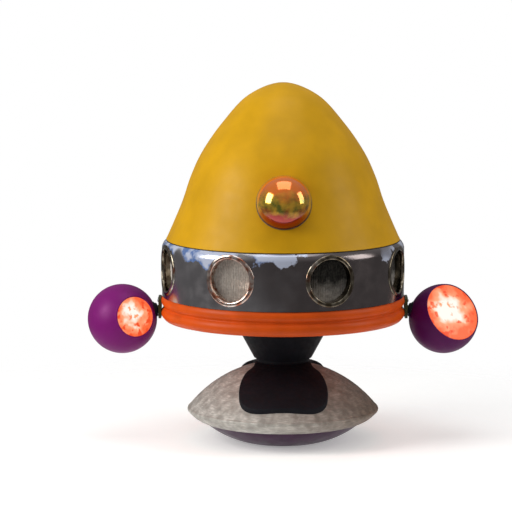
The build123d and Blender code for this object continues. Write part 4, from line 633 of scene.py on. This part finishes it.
def coated_fabric(colour):
    """Vinyl-coated cushion cover: leather grain, rubbed lighter in patches."""
    material, tree, place, shader = new_finish("grained_vinyl", {"IOR": 1.5, "Sheen Weight": 0.1})
    grain = add_node(
        tree, "TexVoronoi", {"Vector": place, "Scale": 1 / (3.5 * MM)}, feature="DISTANCE_TO_EDGE")
    set_inputs(tree, shader, {
        "Base Color": clouded(tree, place, 50 * MM, shade(colour, 0.8), shade(colour, 1.25)),
        "Roughness": patches(tree, place, 10 * MM, 0.38, 0.52),
        "Normal": add_node(tree, "Bump", {"Strength": 0.35, "Distance": 0.3 * MM, "Height": grain})})
    return material


def studded_mat():
    """Rubber floor mat: dull black with round studs 12 mm apart, worn grey on top."""
    material, tree, place, shader = new_finish("studded_mat", {"IOR": 1.52})
    studs = add_node(tree, "TexVoronoi", {"Vector": place, "Scale": 1 / (12 * MM), "Randomness": 0.0})
    raised = add_node(tree, "MapRange", [studs, 0.25, 0.35, 1, 0])
    wear_and_reflection = add_node(tree, "Mix", [raised, linear("#1D1D20"), linear("#3A3A3E")], data_type="RGBA")
    set_inputs(tree, shader, {
        "Base Color": wear_and_reflection,
        "Roughness": patches(tree, place, 14 * MM, 0.6, 0.8),
        "Normal": add_node(tree, "Bump", {"Strength": 0.8, "Distance": 1 * MM, "Height": raised})})
    return material


def lit_button(name, code):
    """Translucent acrylic with its lamp lit: an even glow, slightly cloudy under a glossy face."""
    material, tree, place, shader = new_finish(
        name, {"Roughness": 0.2, "Emission Strength": 0.6, "Coat Weight": 0.5})
    colours = clouded(tree, place, 12 * MM, linear(code), shade(linear(code), 1.5))
    set_inputs(tree, shader, {"Base Color": colours, "Emission Color": colours})
    return material


# ---------------------------------------------------------------- operators
class RIDE_OT_dome(Operator):
    """Turn the dome, with its doorway and the hole behind the nose lens"""

    bl_idname = "ride.dome"
    bl_label = "Dome"

    def wall(self):
        """The dome's wall as a closed line, up its outer face and down its inner one."""
        foot = Vector((BAND_TOP_R, DOME_LOW.z))
        rise = DOME_HIGH.z - DOME_LOW.z
        outer = smooth_curve([(foot.x * r, foot.y + rise * h) for r, h in DOME_CURVE], 7)
        foot_r, foot_z = outer[0]
        inner = []
        for (r0, z0), (r1, z1) in zip(outer, outer[1:]):
            along = Vector((r1 - r0, z1 - z0)).normalized()
            inner.append((r0 - DOME_WALL * along.y, z0 + DOME_WALL * along.x))
        inner.append((0, outer[-1][1] - DOME_WALL))
        inner[0] = (inner[0][0], foot_z)
        # The foot's outer edge is chamfered where it sits on the seal
        edge = [(foot_r - FOOT_CHAMFER, foot_z), (foot_r, foot_z + FOOT_CHAMFER)]
        return [*edge, *outer[1:], *inner[::-1], edge[0]]

    def doorway(self):
        """An arched bar from the axis out through the rear wall."""
        low = DOME_LOW.z - 0.05
        arch = [(-ARCH_HALF, low), (ARCH_HALF, low), *arc((0, ARCH_SPRING_Z), ARCH_HALF, 0, 180, 32)]
        doorway = bar("doorway", arch, DOORWAY_REACH)
        backwards = Matrix.Rotation(radians(90), 4, "X")
        doorway.data.transform(backwards @ Matrix.Translation((0, 0, -DOORWAY_REACH)))
        return doorway

    def execute(self, context):
        dome = turned("dome", self.wall(), 160)
        cut(dome, self.doorway())
        hole = plug("hole", NOSE_HOLE_R, 0.06, 64)
        hole.data.transform(facing(NOSE_OUT, NOSE_CENTRE))
        cut(dome, hole)
        smooth(dome, 30)
        yellow = gel_coat("yellow_gel_coat", context.scene.ride.colours.dome)
        finish(dome, "cabin", yellow, "yellow_gelcoat", "dome_shell")
        return {"FINISHED"}


class RIDE_OT_portholes(Operator):
    """Roll the porthole rims and press their ribbed screens"""

    bl_idname = "ride.portholes"
    bl_label = "Portholes"

    def rim(self, height):
        """One rim about Z: a barrel with a rolled edge."""
        outer, bore = PORT_FLANGE_R, PORT_BORE_R
        barrel_r, barrel_wall = 0.0977, 0.0042
        step, low = -0.042, -0.0485
        roll = [(bore, 0.0005), (bore + 0.0012, height * 0.55), (bore + 0.0035, height * 0.9),
                (bore + 0.007, height), (outer - 0.007, height), (outer - 0.003, height * 0.8),
                (outer - 0.001, height * 0.5), (outer, 0.0004)]
        barrel = [(barrel_r, 0.0004), (barrel_r, low), (bore + barrel_wall, low), (bore + barrel_wall, step)]
        line = [(bore, -0.041), (bore, -0.020), *roll, *barrel, (bore, step), (bore, -0.041)]
        return turned("rim", line, 96)

    def screen(self, pitch):
        """One ribbed disc about Z, its ribs upright, pressed from a wavy sheet."""
        radius, depth, sheet, steps = 0.0915, 0.0017, 0.0022, 8
        reach = radius + 0.004
        count = int(2 * reach / pitch * steps)
        wave = [
            (-reach + n * pitch / steps, -reach, depth * cos(2 * pi * n / steps)) for n in range(count + 1)]
        disc = drawn_line("disc", wave)
        for move in ((0, 2 * reach, 0), (0, 0, -sheet)):
            bpy.ops.mesh.extrude_region_move(TRANSFORM_OT_translate={"value": move})
            bpy.ops.mesh.select_all(action="SELECT")
        bpy.ops.mesh.normals_make_consistent(inside=False)
        bpy.ops.object.mode_set(mode="OBJECT")
        cut(disc, plug("edge", radius, 0.01, 72), "INTERSECT")
        return disc

    def wrapped(self, model, name, angle):
        """A copy of the rim, moved point by point on to the band's curve, which no operator does."""
        copy = copied(model, name)
        for vertex in copy.data.vertices:
            vertex.co.z -= BAND_R - sqrt(BAND_R**2 - vertex.co.x**2)
        copy.data.transform(wall_frame(angle, BAND_R, PORT_Z))
        return copy

    def seated(self, model, name, angle):
        """A copy of the screen at the bottom of a porthole."""
        return copied(model, name, wall_frame(angle, BAND_R - SCREEN_DEPTH, PORT_Z))

    def execute(self, context):
        sizes = context.scene.ride.sizes
        chrome, screen_finish = copper_chrome(), ribbed_screen()
        rim, screen = self.rim(sizes.rim_height), self.screen(sizes.rib_pitch)
        rims = [self.wrapped(rim, "rims", angle) for angle in PORT_ANGLES]
        screens = [self.seated(screen, "screens", angle) for angle in PORT_ANGLES]
        cabin_rims, cabin_screens = joined("porthole_rims", rims), joined("ribbed_screens", screens)
        door_rim = self.wrapped(rim, "door_rim", DOOR_PORT_ANGLE)
        door_screen = self.seated(screen, "door_ribbed_screen", DOOR_PORT_ANGLE)
        for piece in (cabin_rims, cabin_screens, door_rim, door_screen):
            smooth(piece, 40)
        for model in (rim, screen):
            bpy.data.objects.remove(model, do_unlink=True)
        finish(cabin_rims, "cabin", chrome, "copper_chrome", "porthole_bezels")
        finish(cabin_screens, "cabin", screen_finish, "ribbed_steel", "porthole_screens")
        finish(door_rim, "door", chrome, "copper_chrome", "door_bezel")
        finish(door_screen, "door", screen_finish, "ribbed_steel", "door_screen")
        return {"FINISHED"}


class RIDE_OT_nose(Operator):
    """Blow the mirrored nose lens"""

    bl_idname = "ride.nose"
    bl_label = "Nose lens"

    def execute(self, context):
        inner_r = NOSE_R - NOSE_WALL
        outer = arc((0, 0), NOSE_R, degrees_of(NOSE_RIM / NOSE_R), 90, 24)
        inner = arc((0, 0), inner_r, 90, degrees_of(NOSE_RIM / inner_r), 24)
        outer[-1], inner[0] = (0, NOSE_R), (0, inner_r)
        lens = turned("nose_ball", [*outer, *inner, outer[0]], 96)
        lens.data.transform(facing(NOSE_OUT, NOSE_CENTRE))
        smooth(lens, 40)
        finish(lens, "cabin", mirror_lens(), "orange_mirror", "nose_lens")
        return {"FINISHED"}


class RIDE_OT_lamps(Operator):
    """Turn the two side lamps: shells, lit lenses and the collars on their stems"""

    bl_idname = "ride.lamps"
    bl_label = "Side lamps"

    def shell(self, side, lens_r):
        """A hollow ball about Z with a rolled lip round its lens."""
        face = sqrt(LAMP_R**2 - lens_r**2)
        inner_r = LAMP_R - LAMP_WALL
        lip_r, lip_foot = lens_r - 0.004, face - 0.0105
        outer = arc((0, 0), LAMP_R, -90, degrees_of(face / LAMP_R) - 1.2, 40)
        outer[0] = (0, -LAMP_R)
        lip = [(lens_r + 0.0002, face + 0.0008), (lens_r - 0.0015, face + 0.0012),
               (lens_r - 0.0032, face + 0.0004), (lip_r, face - 0.001), (lip_r, lip_foot)]
        inner = arc((0, 0), inner_r, degrees_of(lip_foot / inner_r) - 1.5, -90, 40)
        inner[-1] = (0, -inner_r)
        return turned(f"{side}_lamp_ball", [*outer, *lip, *inner], 112)

    def lens(self, side, lens_r, bulge):
        """A bulging disc that closes the shell."""
        face = sqrt(LAMP_R**2 - lens_r**2)
        edge_r = lens_r - LAMP_WALL - 0.0003
        turns = [radians(6 * n) for n in range(16)]
        rise = [(edge_r * cos(turn), face - 0.001 + bulge * sin(turn)) for turn in turns]
        rise[-1] = (0, face - 0.001 + bulge)
        return turned(f"{side}_lit_lens", [(0, face - 0.005), (edge_r, face - 0.005), *rise], 96)

    def collar(self, side, direction):
        """A stepped collar where the stem enters the ball."""
        bore_r = 0.0132
        line = [(bore_r, -0.008), (0.030, -0.008), (0.0325, -0.004), (0.0325, 0.001), (0.027, 0.004),
                (0.0245, 0.010), (0.021, 0.0125), (bore_r, 0.0125), (bore_r, -0.008)]
        piece = turned(f"{side}_stem_collar", line, 48)
        piece.data.transform(facing(direction, LAMP_CENTRES[side] + direction * (LAMP_R - 0.002)))
        return piece

    def execute(self, context):
        ride = context.scene.ride
        metal = black_abs("collar_black_abs", "#26232A", 2 * MM)
        facts = {
            "left": (SPOT_LENS_R, SPOT_AIM, 1, "magenta_shell", "magenta_satin", ride.colours.left_lamp),
            # Painted shade: the right shell gets a darker copy of the left's magenta paint
            "right": (FLOOD_LENS_R, FLOOD_AIM, -1, "plum_shell", "magenta_satin_painted_shade", ride.colours.right_lamp),
        }
        for side, (lens_r, aim, inwards, shell_slot, paint_name, colour) in facts.items():
            body = f"lamp_{side}"
            centre = LAMP_CENTRES[side]
            place = facing(aim, centre)
            shell = self.shell(side, lens_r)
            shell.data.transform(place)
            smooth(shell, 40)
            finish(shell, body, lamp_paint(paint_name, colour), shell_slot, f"{side}_lamp_shell")
            lens = self.lens(side, lens_r, ride.sizes.lens_bulge)
            lens.data.transform(place)
            smooth(lens, 40)
            hot_spot = centre + aim * sqrt(LAMP_R**2 - lens_r**2) + Vector((-0.018, 0, 0.004))
            acrylic = lit_lens(
                f"{side}_lit_acrylic", hot_spot, ride.colours.glow, 0.55 * lens_r, 0.5 * lens_r)
            finish(lens, body, acrylic, "glowing_lens", f"{side}_lamp_lens")
            stem_out = Vector((inwards * cos(ARM_TURN), 0, sin(ARM_TURN)))
            collar = self.collar(side, stem_out)
            smooth(collar, 40)
            finish(collar, body, metal, "lamp_holder")
        return {"FINISHED"}


class RIDE_OT_seat(Operator):
    """Stuff the seat cushion and sew its piping"""

    bl_idname = "ride.seat"
    bl_label = "Seat cushion"

    def cover(self, puff):
        """The cushion's cover, blown up with cloth from a slightly smaller shape."""
        cushion = copied(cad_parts["seat_cushion"], "seat_pad")
        pick(cushion)
        bpy.ops.object.mode_set(mode="EDIT")
        bpy.ops.mesh.select_all(action="SELECT")
        bpy.ops.mesh.remove_doubles(threshold=1e-5)
        bpy.ops.mesh.normals_make_consistent(inside=False)
        bpy.ops.object.mode_set(mode="OBJECT")
        if cushion.data.has_custom_normals:
            bpy.ops.mesh.customdata_custom_splitnormals_clear()
        middle = (CUSHION_LOW + CUSHION_HIGH) / 2
        middle.z = CUSHION_LOW.z
        smaller = Matrix.Diagonal((0.955, 0.965, 0.90, 1))
        cushion.data.transform(Matrix.Translation(middle) @ smaller @ Matrix.Translation(-middle))
        apply_modifier(cushion, "REMESH", mode="VOXEL", voxel_size=0.006)
        rest = [vertex.co.copy() for vertex in cushion.data.vertices]
        cloth = cushion.modifiers.new("cloth", "CLOTH")
        cloth.settings.use_pressure = True
        cloth.settings.uniform_pressure_force = 4
        cloth.settings.effector_weights.gravity = 0
        cloth.settings.mass = 0.3
        for number in range(1, 21):
            bpy.context.scene.frame_set(number)
        evaluated = cushion.evaluated_get(bpy.context.evaluated_depsgraph_get())
        blown = [vertex.co.copy() for vertex in evaluated.data.vertices]
        cushion.modifiers.remove(cloth)
        bpy.context.scene.frame_set(1)
        # Each point keeps the cloth's direction and is held to the most that the cover may swell
        for vertex, start, end in zip(cushion.data.vertices, rest, blown):
            move = end - start
            if move.length > puff:
                move = move.normalized() * puff
            vertex.co = start + move
            vertex.co.z = max(vertex.co.z, CUSHION_LOW.z + 0.0003)
        return cushion

    def piping(self, cushion, name, height, radius):
        """A welt sewn round the cushion where a level plane crosses its cover."""
        pick(copied(cushion, name))
        bpy.ops.object.mode_set(mode="EDIT")
        bpy.ops.mesh.select_all(action="SELECT")
        bpy.ops.mesh.bisect(
            plane_co=(0, 0, height), plane_no=(0, 0, 1), use_fill=False, clear_inner=True, clear_outer=True)
        bpy.ops.object.mode_set(mode="OBJECT")
        bpy.ops.object.convert(target="CURVE")
        welt = bpy.context.object
        welt.data.bevel_depth = radius
        welt.data.bevel_resolution = 3
        bpy.ops.object.convert(target="MESH")
        return bpy.context.object

    def execute(self, context):
        ride = context.scene.ride
        cushion = self.cover(ride.sizes.puff_limit)
        apply_modifier(cushion, "SMOOTH", iterations=4, factor=0.5)
        apply_modifier(cushion, "SUBSURF", levels=1, render_levels=1)
        smooth(cushion, 60)
        vinyl = coated_fabric(ride.colours.cushion)
        finish(cushion, "cabin", vinyl, "black_vinyl", "seat_cushion")
        for name, height in WELT_HEIGHTS.items():
            welt = self.piping(cushion, name, CUSHION_LOW.z + height, ride.sizes.piping)
            smooth(welt, 60)
            finish(welt, "cabin", vinyl, "black_vinyl")
        return {"FINISHED"}


class RIDE_OT_wheel(Operator):
    """Mould the steering wheel with its finger grips"""

    bl_idname = "ride.wheel"
    bl_label = "Steering wheel"

    def ring(self, grips):
        """The wheel's ring about Z, its points pinched into finger grips, which no operator does."""
        clear_selection()
        bpy.ops.mesh.primitive_torus_add(
            major_segments=grips * 8, minor_segments=18,
            major_radius=WHEEL_R, minor_radius=WHEEL_TUBE_R - 0.0004)
        ring = bpy.context.object
        for vertex in ring.data.vertices:
            core = Vector((vertex.co.x, vertex.co.y, 0)).normalized() * WHEEL_R
            turn = grips * Vector((1, 0)).angle_signed(vertex.co.xy, 0)
            vertex.co = core + (vertex.co - core) * (0.93 + 0.07 * cos(turn))
        return ring

    def spoke(self, angle):
        """One flat, rounded spoke about Z at an angle."""
        root, tip = 0.024, 0.104
        spoke = bar("spoke", [(root, -0.013), (tip, -0.009), (tip, 0.009), (root, 0.013)], 0.0075)
        apply_modifier(spoke, "BEVEL", width=0.002, segments=3)
        turn = Matrix.Rotation(radians(angle), 4, "Z")
        spoke.data.transform(turn @ Matrix.Translation((0, 0, -0.006)))
        return spoke

    def execute(self, context):
        bore_r, low = 0.0102, -0.022
        hub_line = [(bore_r, low), (0.026, low), (0.029, -0.019), (0.030, -0.010), (0.030, 0.009),
                    (0.0285, 0.012), (0.0, 0.012), (0.0, 0.0), (bore_r, 0.0), (bore_r, low)]
        pieces = [self.ring(context.scene.ride.sizes.grips), turned("hub", hub_line, 48)]
        pieces += [self.spoke(angle) for angle in (90, 210, 330)]
        wheel = joined("moulded_wheel", pieces)
        out = Vector((0, sin(WHEEL_TURN), cos(WHEEL_TURN)))
        place = Matrix((Vector((1, 0, 0)), Vector((0, out.z, -out.y)), out)).transposed().to_4x4()
        place.translation = WHEEL_CENTRE
        wheel.data.transform(place)
        smooth(wheel, 40)
        moulded = black_abs("wheel_black_abs", "#202024", 1.2 * MM)
        finish(wheel, "steering", moulded, "wheel_plastic", "steering_wheel")
        return {"FINISHED"}


class RIDE_OT_coin_details(Operator):
    """Press the coin slot's surround and set the screws of the coin plate and lamp brackets"""

    bl_idname = "ride.coin_details"
    bl_label = "Slot surround and screws"

    def screw(self):
        """A domed screw head about Z with a cross recess."""
        top = 0.0031
        line = [(0, 0), (0.0048, 0), (0.0048, 0.0007), (0.0042, 0.0019), (0.0028, 0.0028), (0, top)]
        head = turned("screw", line, 24)
        for angle in (0, 90):
            clear_selection()
            bpy.ops.mesh.primitive_cube_add(size=1)
            recess = bpy.context.object
            turn = Matrix.Rotation(radians(angle), 4, "Z")
            recess.data.transform(turn @ Matrix.Diagonal((0.0052, 0.0009, 0.0024, 1)))
            recess.data.transform(Matrix.Translation((0, 0, top)))
            cut(head, recess)
        return head

    def screws(self):
        """The four screws of the coin plate and the four of each lamp bracket, as one piece."""
        plate = wall_frame(COIN_ANGLE, BAND_R + 0.0085, COIN_Z)
        places = [plate @ Matrix.Translation((x, y, 0)) for x in (-0.047, 0.047) for y in (-0.090, 0.090)]
        places += [
            facing((side, 0, 0), (side * BRACKET_X, y, z)) @ Matrix.Scale(1.4, 4)
            for side in (-1, 1) for y in (-0.027, 0.027) for z in (0.535, 0.595)]
        head = self.screw()
        heads = joined("pan_head_screws", [copied(head, "screws", place) for place in places])
        bpy.data.objects.remove(head, do_unlink=True)
        return heads

    def slotted_bar(self, name, radius, half_length, pieces, depth):
        """A bar whose outline is an upright slot with round ends."""
        upper = arc((0, half_length), radius, 0, 180, pieces)
        return bar(name, upper + [(-x, -y) for x, y in upper], depth)

    def surround(self):
        """The pressed ring round the coin slot."""
        ring = self.slotted_bar("slot_surround", 0.0105, 0.0115, 15, 0.0022)
        slot = self.slotted_bar("slot", 0.0026, 0.0152, 9, 0.01)
        slot.data.transform(Matrix.Translation((0, 0, -0.005)))
        cut(ring, slot)
        apply_modifier(ring, "BEVEL", width=0.0006, segments=2)
        ring.data.transform(wall_frame(COIN_ANGLE, BAND_R + 0.0082, COIN_Z + 0.062))
        return ring

    def execute(self, context):
        steel = zinc_steel("bright_screw_steel", "#BDBFC2", "#8E9094")
        heads = self.screws()
        smooth(heads, 35)
        finish(heads, "cabin", steel, "satin_steel")
        ring = self.surround()
        smooth(ring, 40)
        finish(ring, "cabin", steel, "satin_steel")
        return {"FINISHED"}


class RIDE_OT_finishes(Operator):
    """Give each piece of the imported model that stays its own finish"""

    bl_idname = "ride.finishes"
    bl_label = "Finishes"

    def execute(self, context):
        colours = context.scene.ride.colours
        plan = {
            enamel("purple_enamel", colours.hull): ("base_hull",),
            scuffed_steel("hammered_grey_paint", "#D6D5CE", "#96938C", 0.1): ("saucer_shell",),
            black_abs("matt_black_cover", "#0D0D13", 2 * MM): ("drive_cover", "neck_funnel"),
            gel_coat("orange_gel_coat", colours.skirt, 90 * MM): ("cabin_skirt",),
            smoked_chrome(): ("window_band", "door_skin"),
            rubber(): ("dome_seal", "doorway_trim"),
            rubber("grey_rubber", "#5A4A3C"): ("nose_gasket",),
            enamel("olive_enamel", linear("#3C3F22")): ("lamp_arms",),
            studded_mat(): ("floor_mat",),
            moulded_polythene("grey_polythene", linear("#8C8A86")): ("seat_base",),
            moulded_polythene("blue_polythene", linear("#2C4E8C")): ("dashboard",),
            black_abs(): ("wheel_cap", "power_box", "power_inlet", "speakers", "coin_mech"),
            zinc_steel("phosphated_steel", "#55565A", "#3A3A3D"): (
                "pedestal_frame", "anchor_plate", "crank_disc", "connecting_rod", "rocker_column",
                "door_frame", "gearbox"),
            zinc_steel(): (
                "shell_screws", "frame_bolts", "deck_bolts", "crank_pin", "lever_pin", "rocker_axle",
                "doorway_fittings", "door_hinges", "door_bolt", "steering_post", "button_rings"),
            zinc_steel("sintered_bronze", "#A5834E", "#7C5E34"): ("axle_bushes",),
            enamel("motor_enamel", linear("#26405C")): ("drive_motor",),
            scuffed_steel("brushed_coin_steel", "#C9C7C3", "#94928E", 0.9): ("coin_housing", "return_flap"),
            moulded_polythene("sealed_plywood", linear("#7A5A38"), 6 * MM): ("floor_deck",),
            lit_button("red_acrylic", "#B8201A"): ("horn_button", "reject_button"),
            lit_button("green_acrylic", "#1F8A3A"): ("light_button",),
            lit_button("bulb_glass", "#F2E6C8"): ("nose_lamp",),
            lit_button("light_board", "#D8C89A"): ("left_lamp_board", "right_lamp_board"),
        }
        for material, nodes in plan.items():
            for name in nodes:
                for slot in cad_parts[name].material_slots:
                    slot.link = "OBJECT"
                    slot.material = material
        return {"FINISHED"}


class RIDE_OT_stage(Operator):
    """Set the floor, the soft lights and the camera"""

    bl_idname = "ride.stage"
    bl_label = "Stage"

    def light(self, name, place, size, power, colour):
        """A soft rectangular light that points at the middle of the ride."""
        bpy.ops.object.light_add(type="AREA", location=place)
        lamp = bpy.context.object
        lamp.name = name
        lamp.data.shape = "RECTANGLE"
        lamp.data.size, lamp.data.size_y = size
        lamp.data.energy = power
        lamp.data.color = colour
        lamp.rotation_euler = (Vector(place) - LIGHT_TARGET).to_track_quat("Z", "Y").to_euler()

    def floor(self):
        """A round floor in studio paper: pale, faintly grained, and fading into the backdrop."""
        clear_selection()
        bpy.ops.mesh.primitive_circle_add(vertices=96, radius=6, fill_type="NGON", location=(0, 0, 0))
        floor = bpy.context.object
        floor.name = "studio_floor"
        material, tree, place, shader = new_finish(
            "studio_paper",
            {"Roughness": 0.9, "Emission Strength": 0.3, "Emission Color": linear("#FFFFFF")})
        away = add_node(tree, "VectorMath", [place], operation="LENGTH")
        set_inputs(tree, shader, {
            "Base Color": clouded(tree, place, 3 * MM, linear("#F6F5F3"), linear("#FCFBFA")),
            "Alpha": add_node(tree, "MapRange", [away, 0.7, 2.2, 1, 0])})
        floor.data.materials.append(material)

    def world(self):
        """A white backdrop to the camera, and a room that is darker at eye level to everything else."""
        world = bpy.data.worlds.new("studio_room")
        bpy.context.scene.world = world
        world.use_nodes = True
        tree = world.node_tree
        tree.nodes.clear()
        seen = add_node(tree, "LightPath").outputs["Is Camera Ray"]
        way = add_node(tree, "TexCoord").outputs["Generated"]
        height = add_node(tree, "SeparateXYZ", [way]).outputs["Z"]
        above = add_node(tree, "MapRange", [height, 0.05, 0.75])
        walls = add_node(tree, "Mix", [above, linear("#A3A1A1"), linear("#F2F2F2")], data_type="RGBA")
        room = add_node(tree, "Background", {"Color": walls, "Strength": 0.47})
        paper = add_node(tree, "Background", {"Color": (1, 1, 1, 1), "Strength": 1.0})
        both = add_node(tree, "MixShader", [seen, room, paper])
        add_node(tree, "OutputWorld", {"Surface": both})

    def execute(self, context):
        clear_selection()
        self.floor()
        self.world()
        for name, facts in LIGHTS.items():
            self.light(name, *facts)
        bpy.ops.object.camera_add(location=CAMERA_PLACE)
        camera = context.object
        camera.rotation_euler = (camera.location - CAMERA_TARGET).to_track_quat("Z", "Y").to_euler()
        camera.data.lens = CAMERA_LENS
        camera.data.sensor_width = CAMERA_SENSOR
        context.scene.camera = camera
        context.scene.view_settings.view_transform = "Standard"
        return {"FINISHED"}


class RIDE_PT_panel(Panel):
    """Lists the steps that build the ride"""

    bl_idname = "RIDE_PT_panel"
    bl_label = "Kiddie ride"
    bl_space_type = "VIEW_3D"
    bl_region_type = "UI"
    bl_category = "Kiddie ride"

    def draw(self, context):
        ride = context.scene.ride
        for step in STEPS:
            self.layout.operator(step.bl_idname)
        for group in (ride.sizes, ride.colours):
            for name in group.bl_rna.properties.keys():
                if name not in ("rna_type", "name"):
                    self.layout.prop(group, name)


STEPS = (
    RIDE_OT_dome,
    RIDE_OT_portholes,
    RIDE_OT_nose,
    RIDE_OT_lamps,
    RIDE_OT_seat,
    RIDE_OT_wheel,
    RIDE_OT_coin_details,
    RIDE_OT_finishes,
    RIDE_OT_stage,
)
CLASSES = (RideSizes, RideColours, RideSettings, *STEPS, RIDE_PT_panel)


def register():
    for entry in CLASSES:
        bpy.utils.register_class(entry)
    bpy.types.Scene.ride = PointerProperty(type=RideSettings)


def unregister():
    del bpy.types.Scene.ride
    for entry in reversed(CLASSES):
        bpy.utils.unregister_class(entry)


def main():
    """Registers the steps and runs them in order."""
    register()
    for step in STEPS:
        group, name = step.bl_idname.split(".")
        getattr(getattr(bpy.ops, group), name)()


if __name__ == "__main__":
    main()
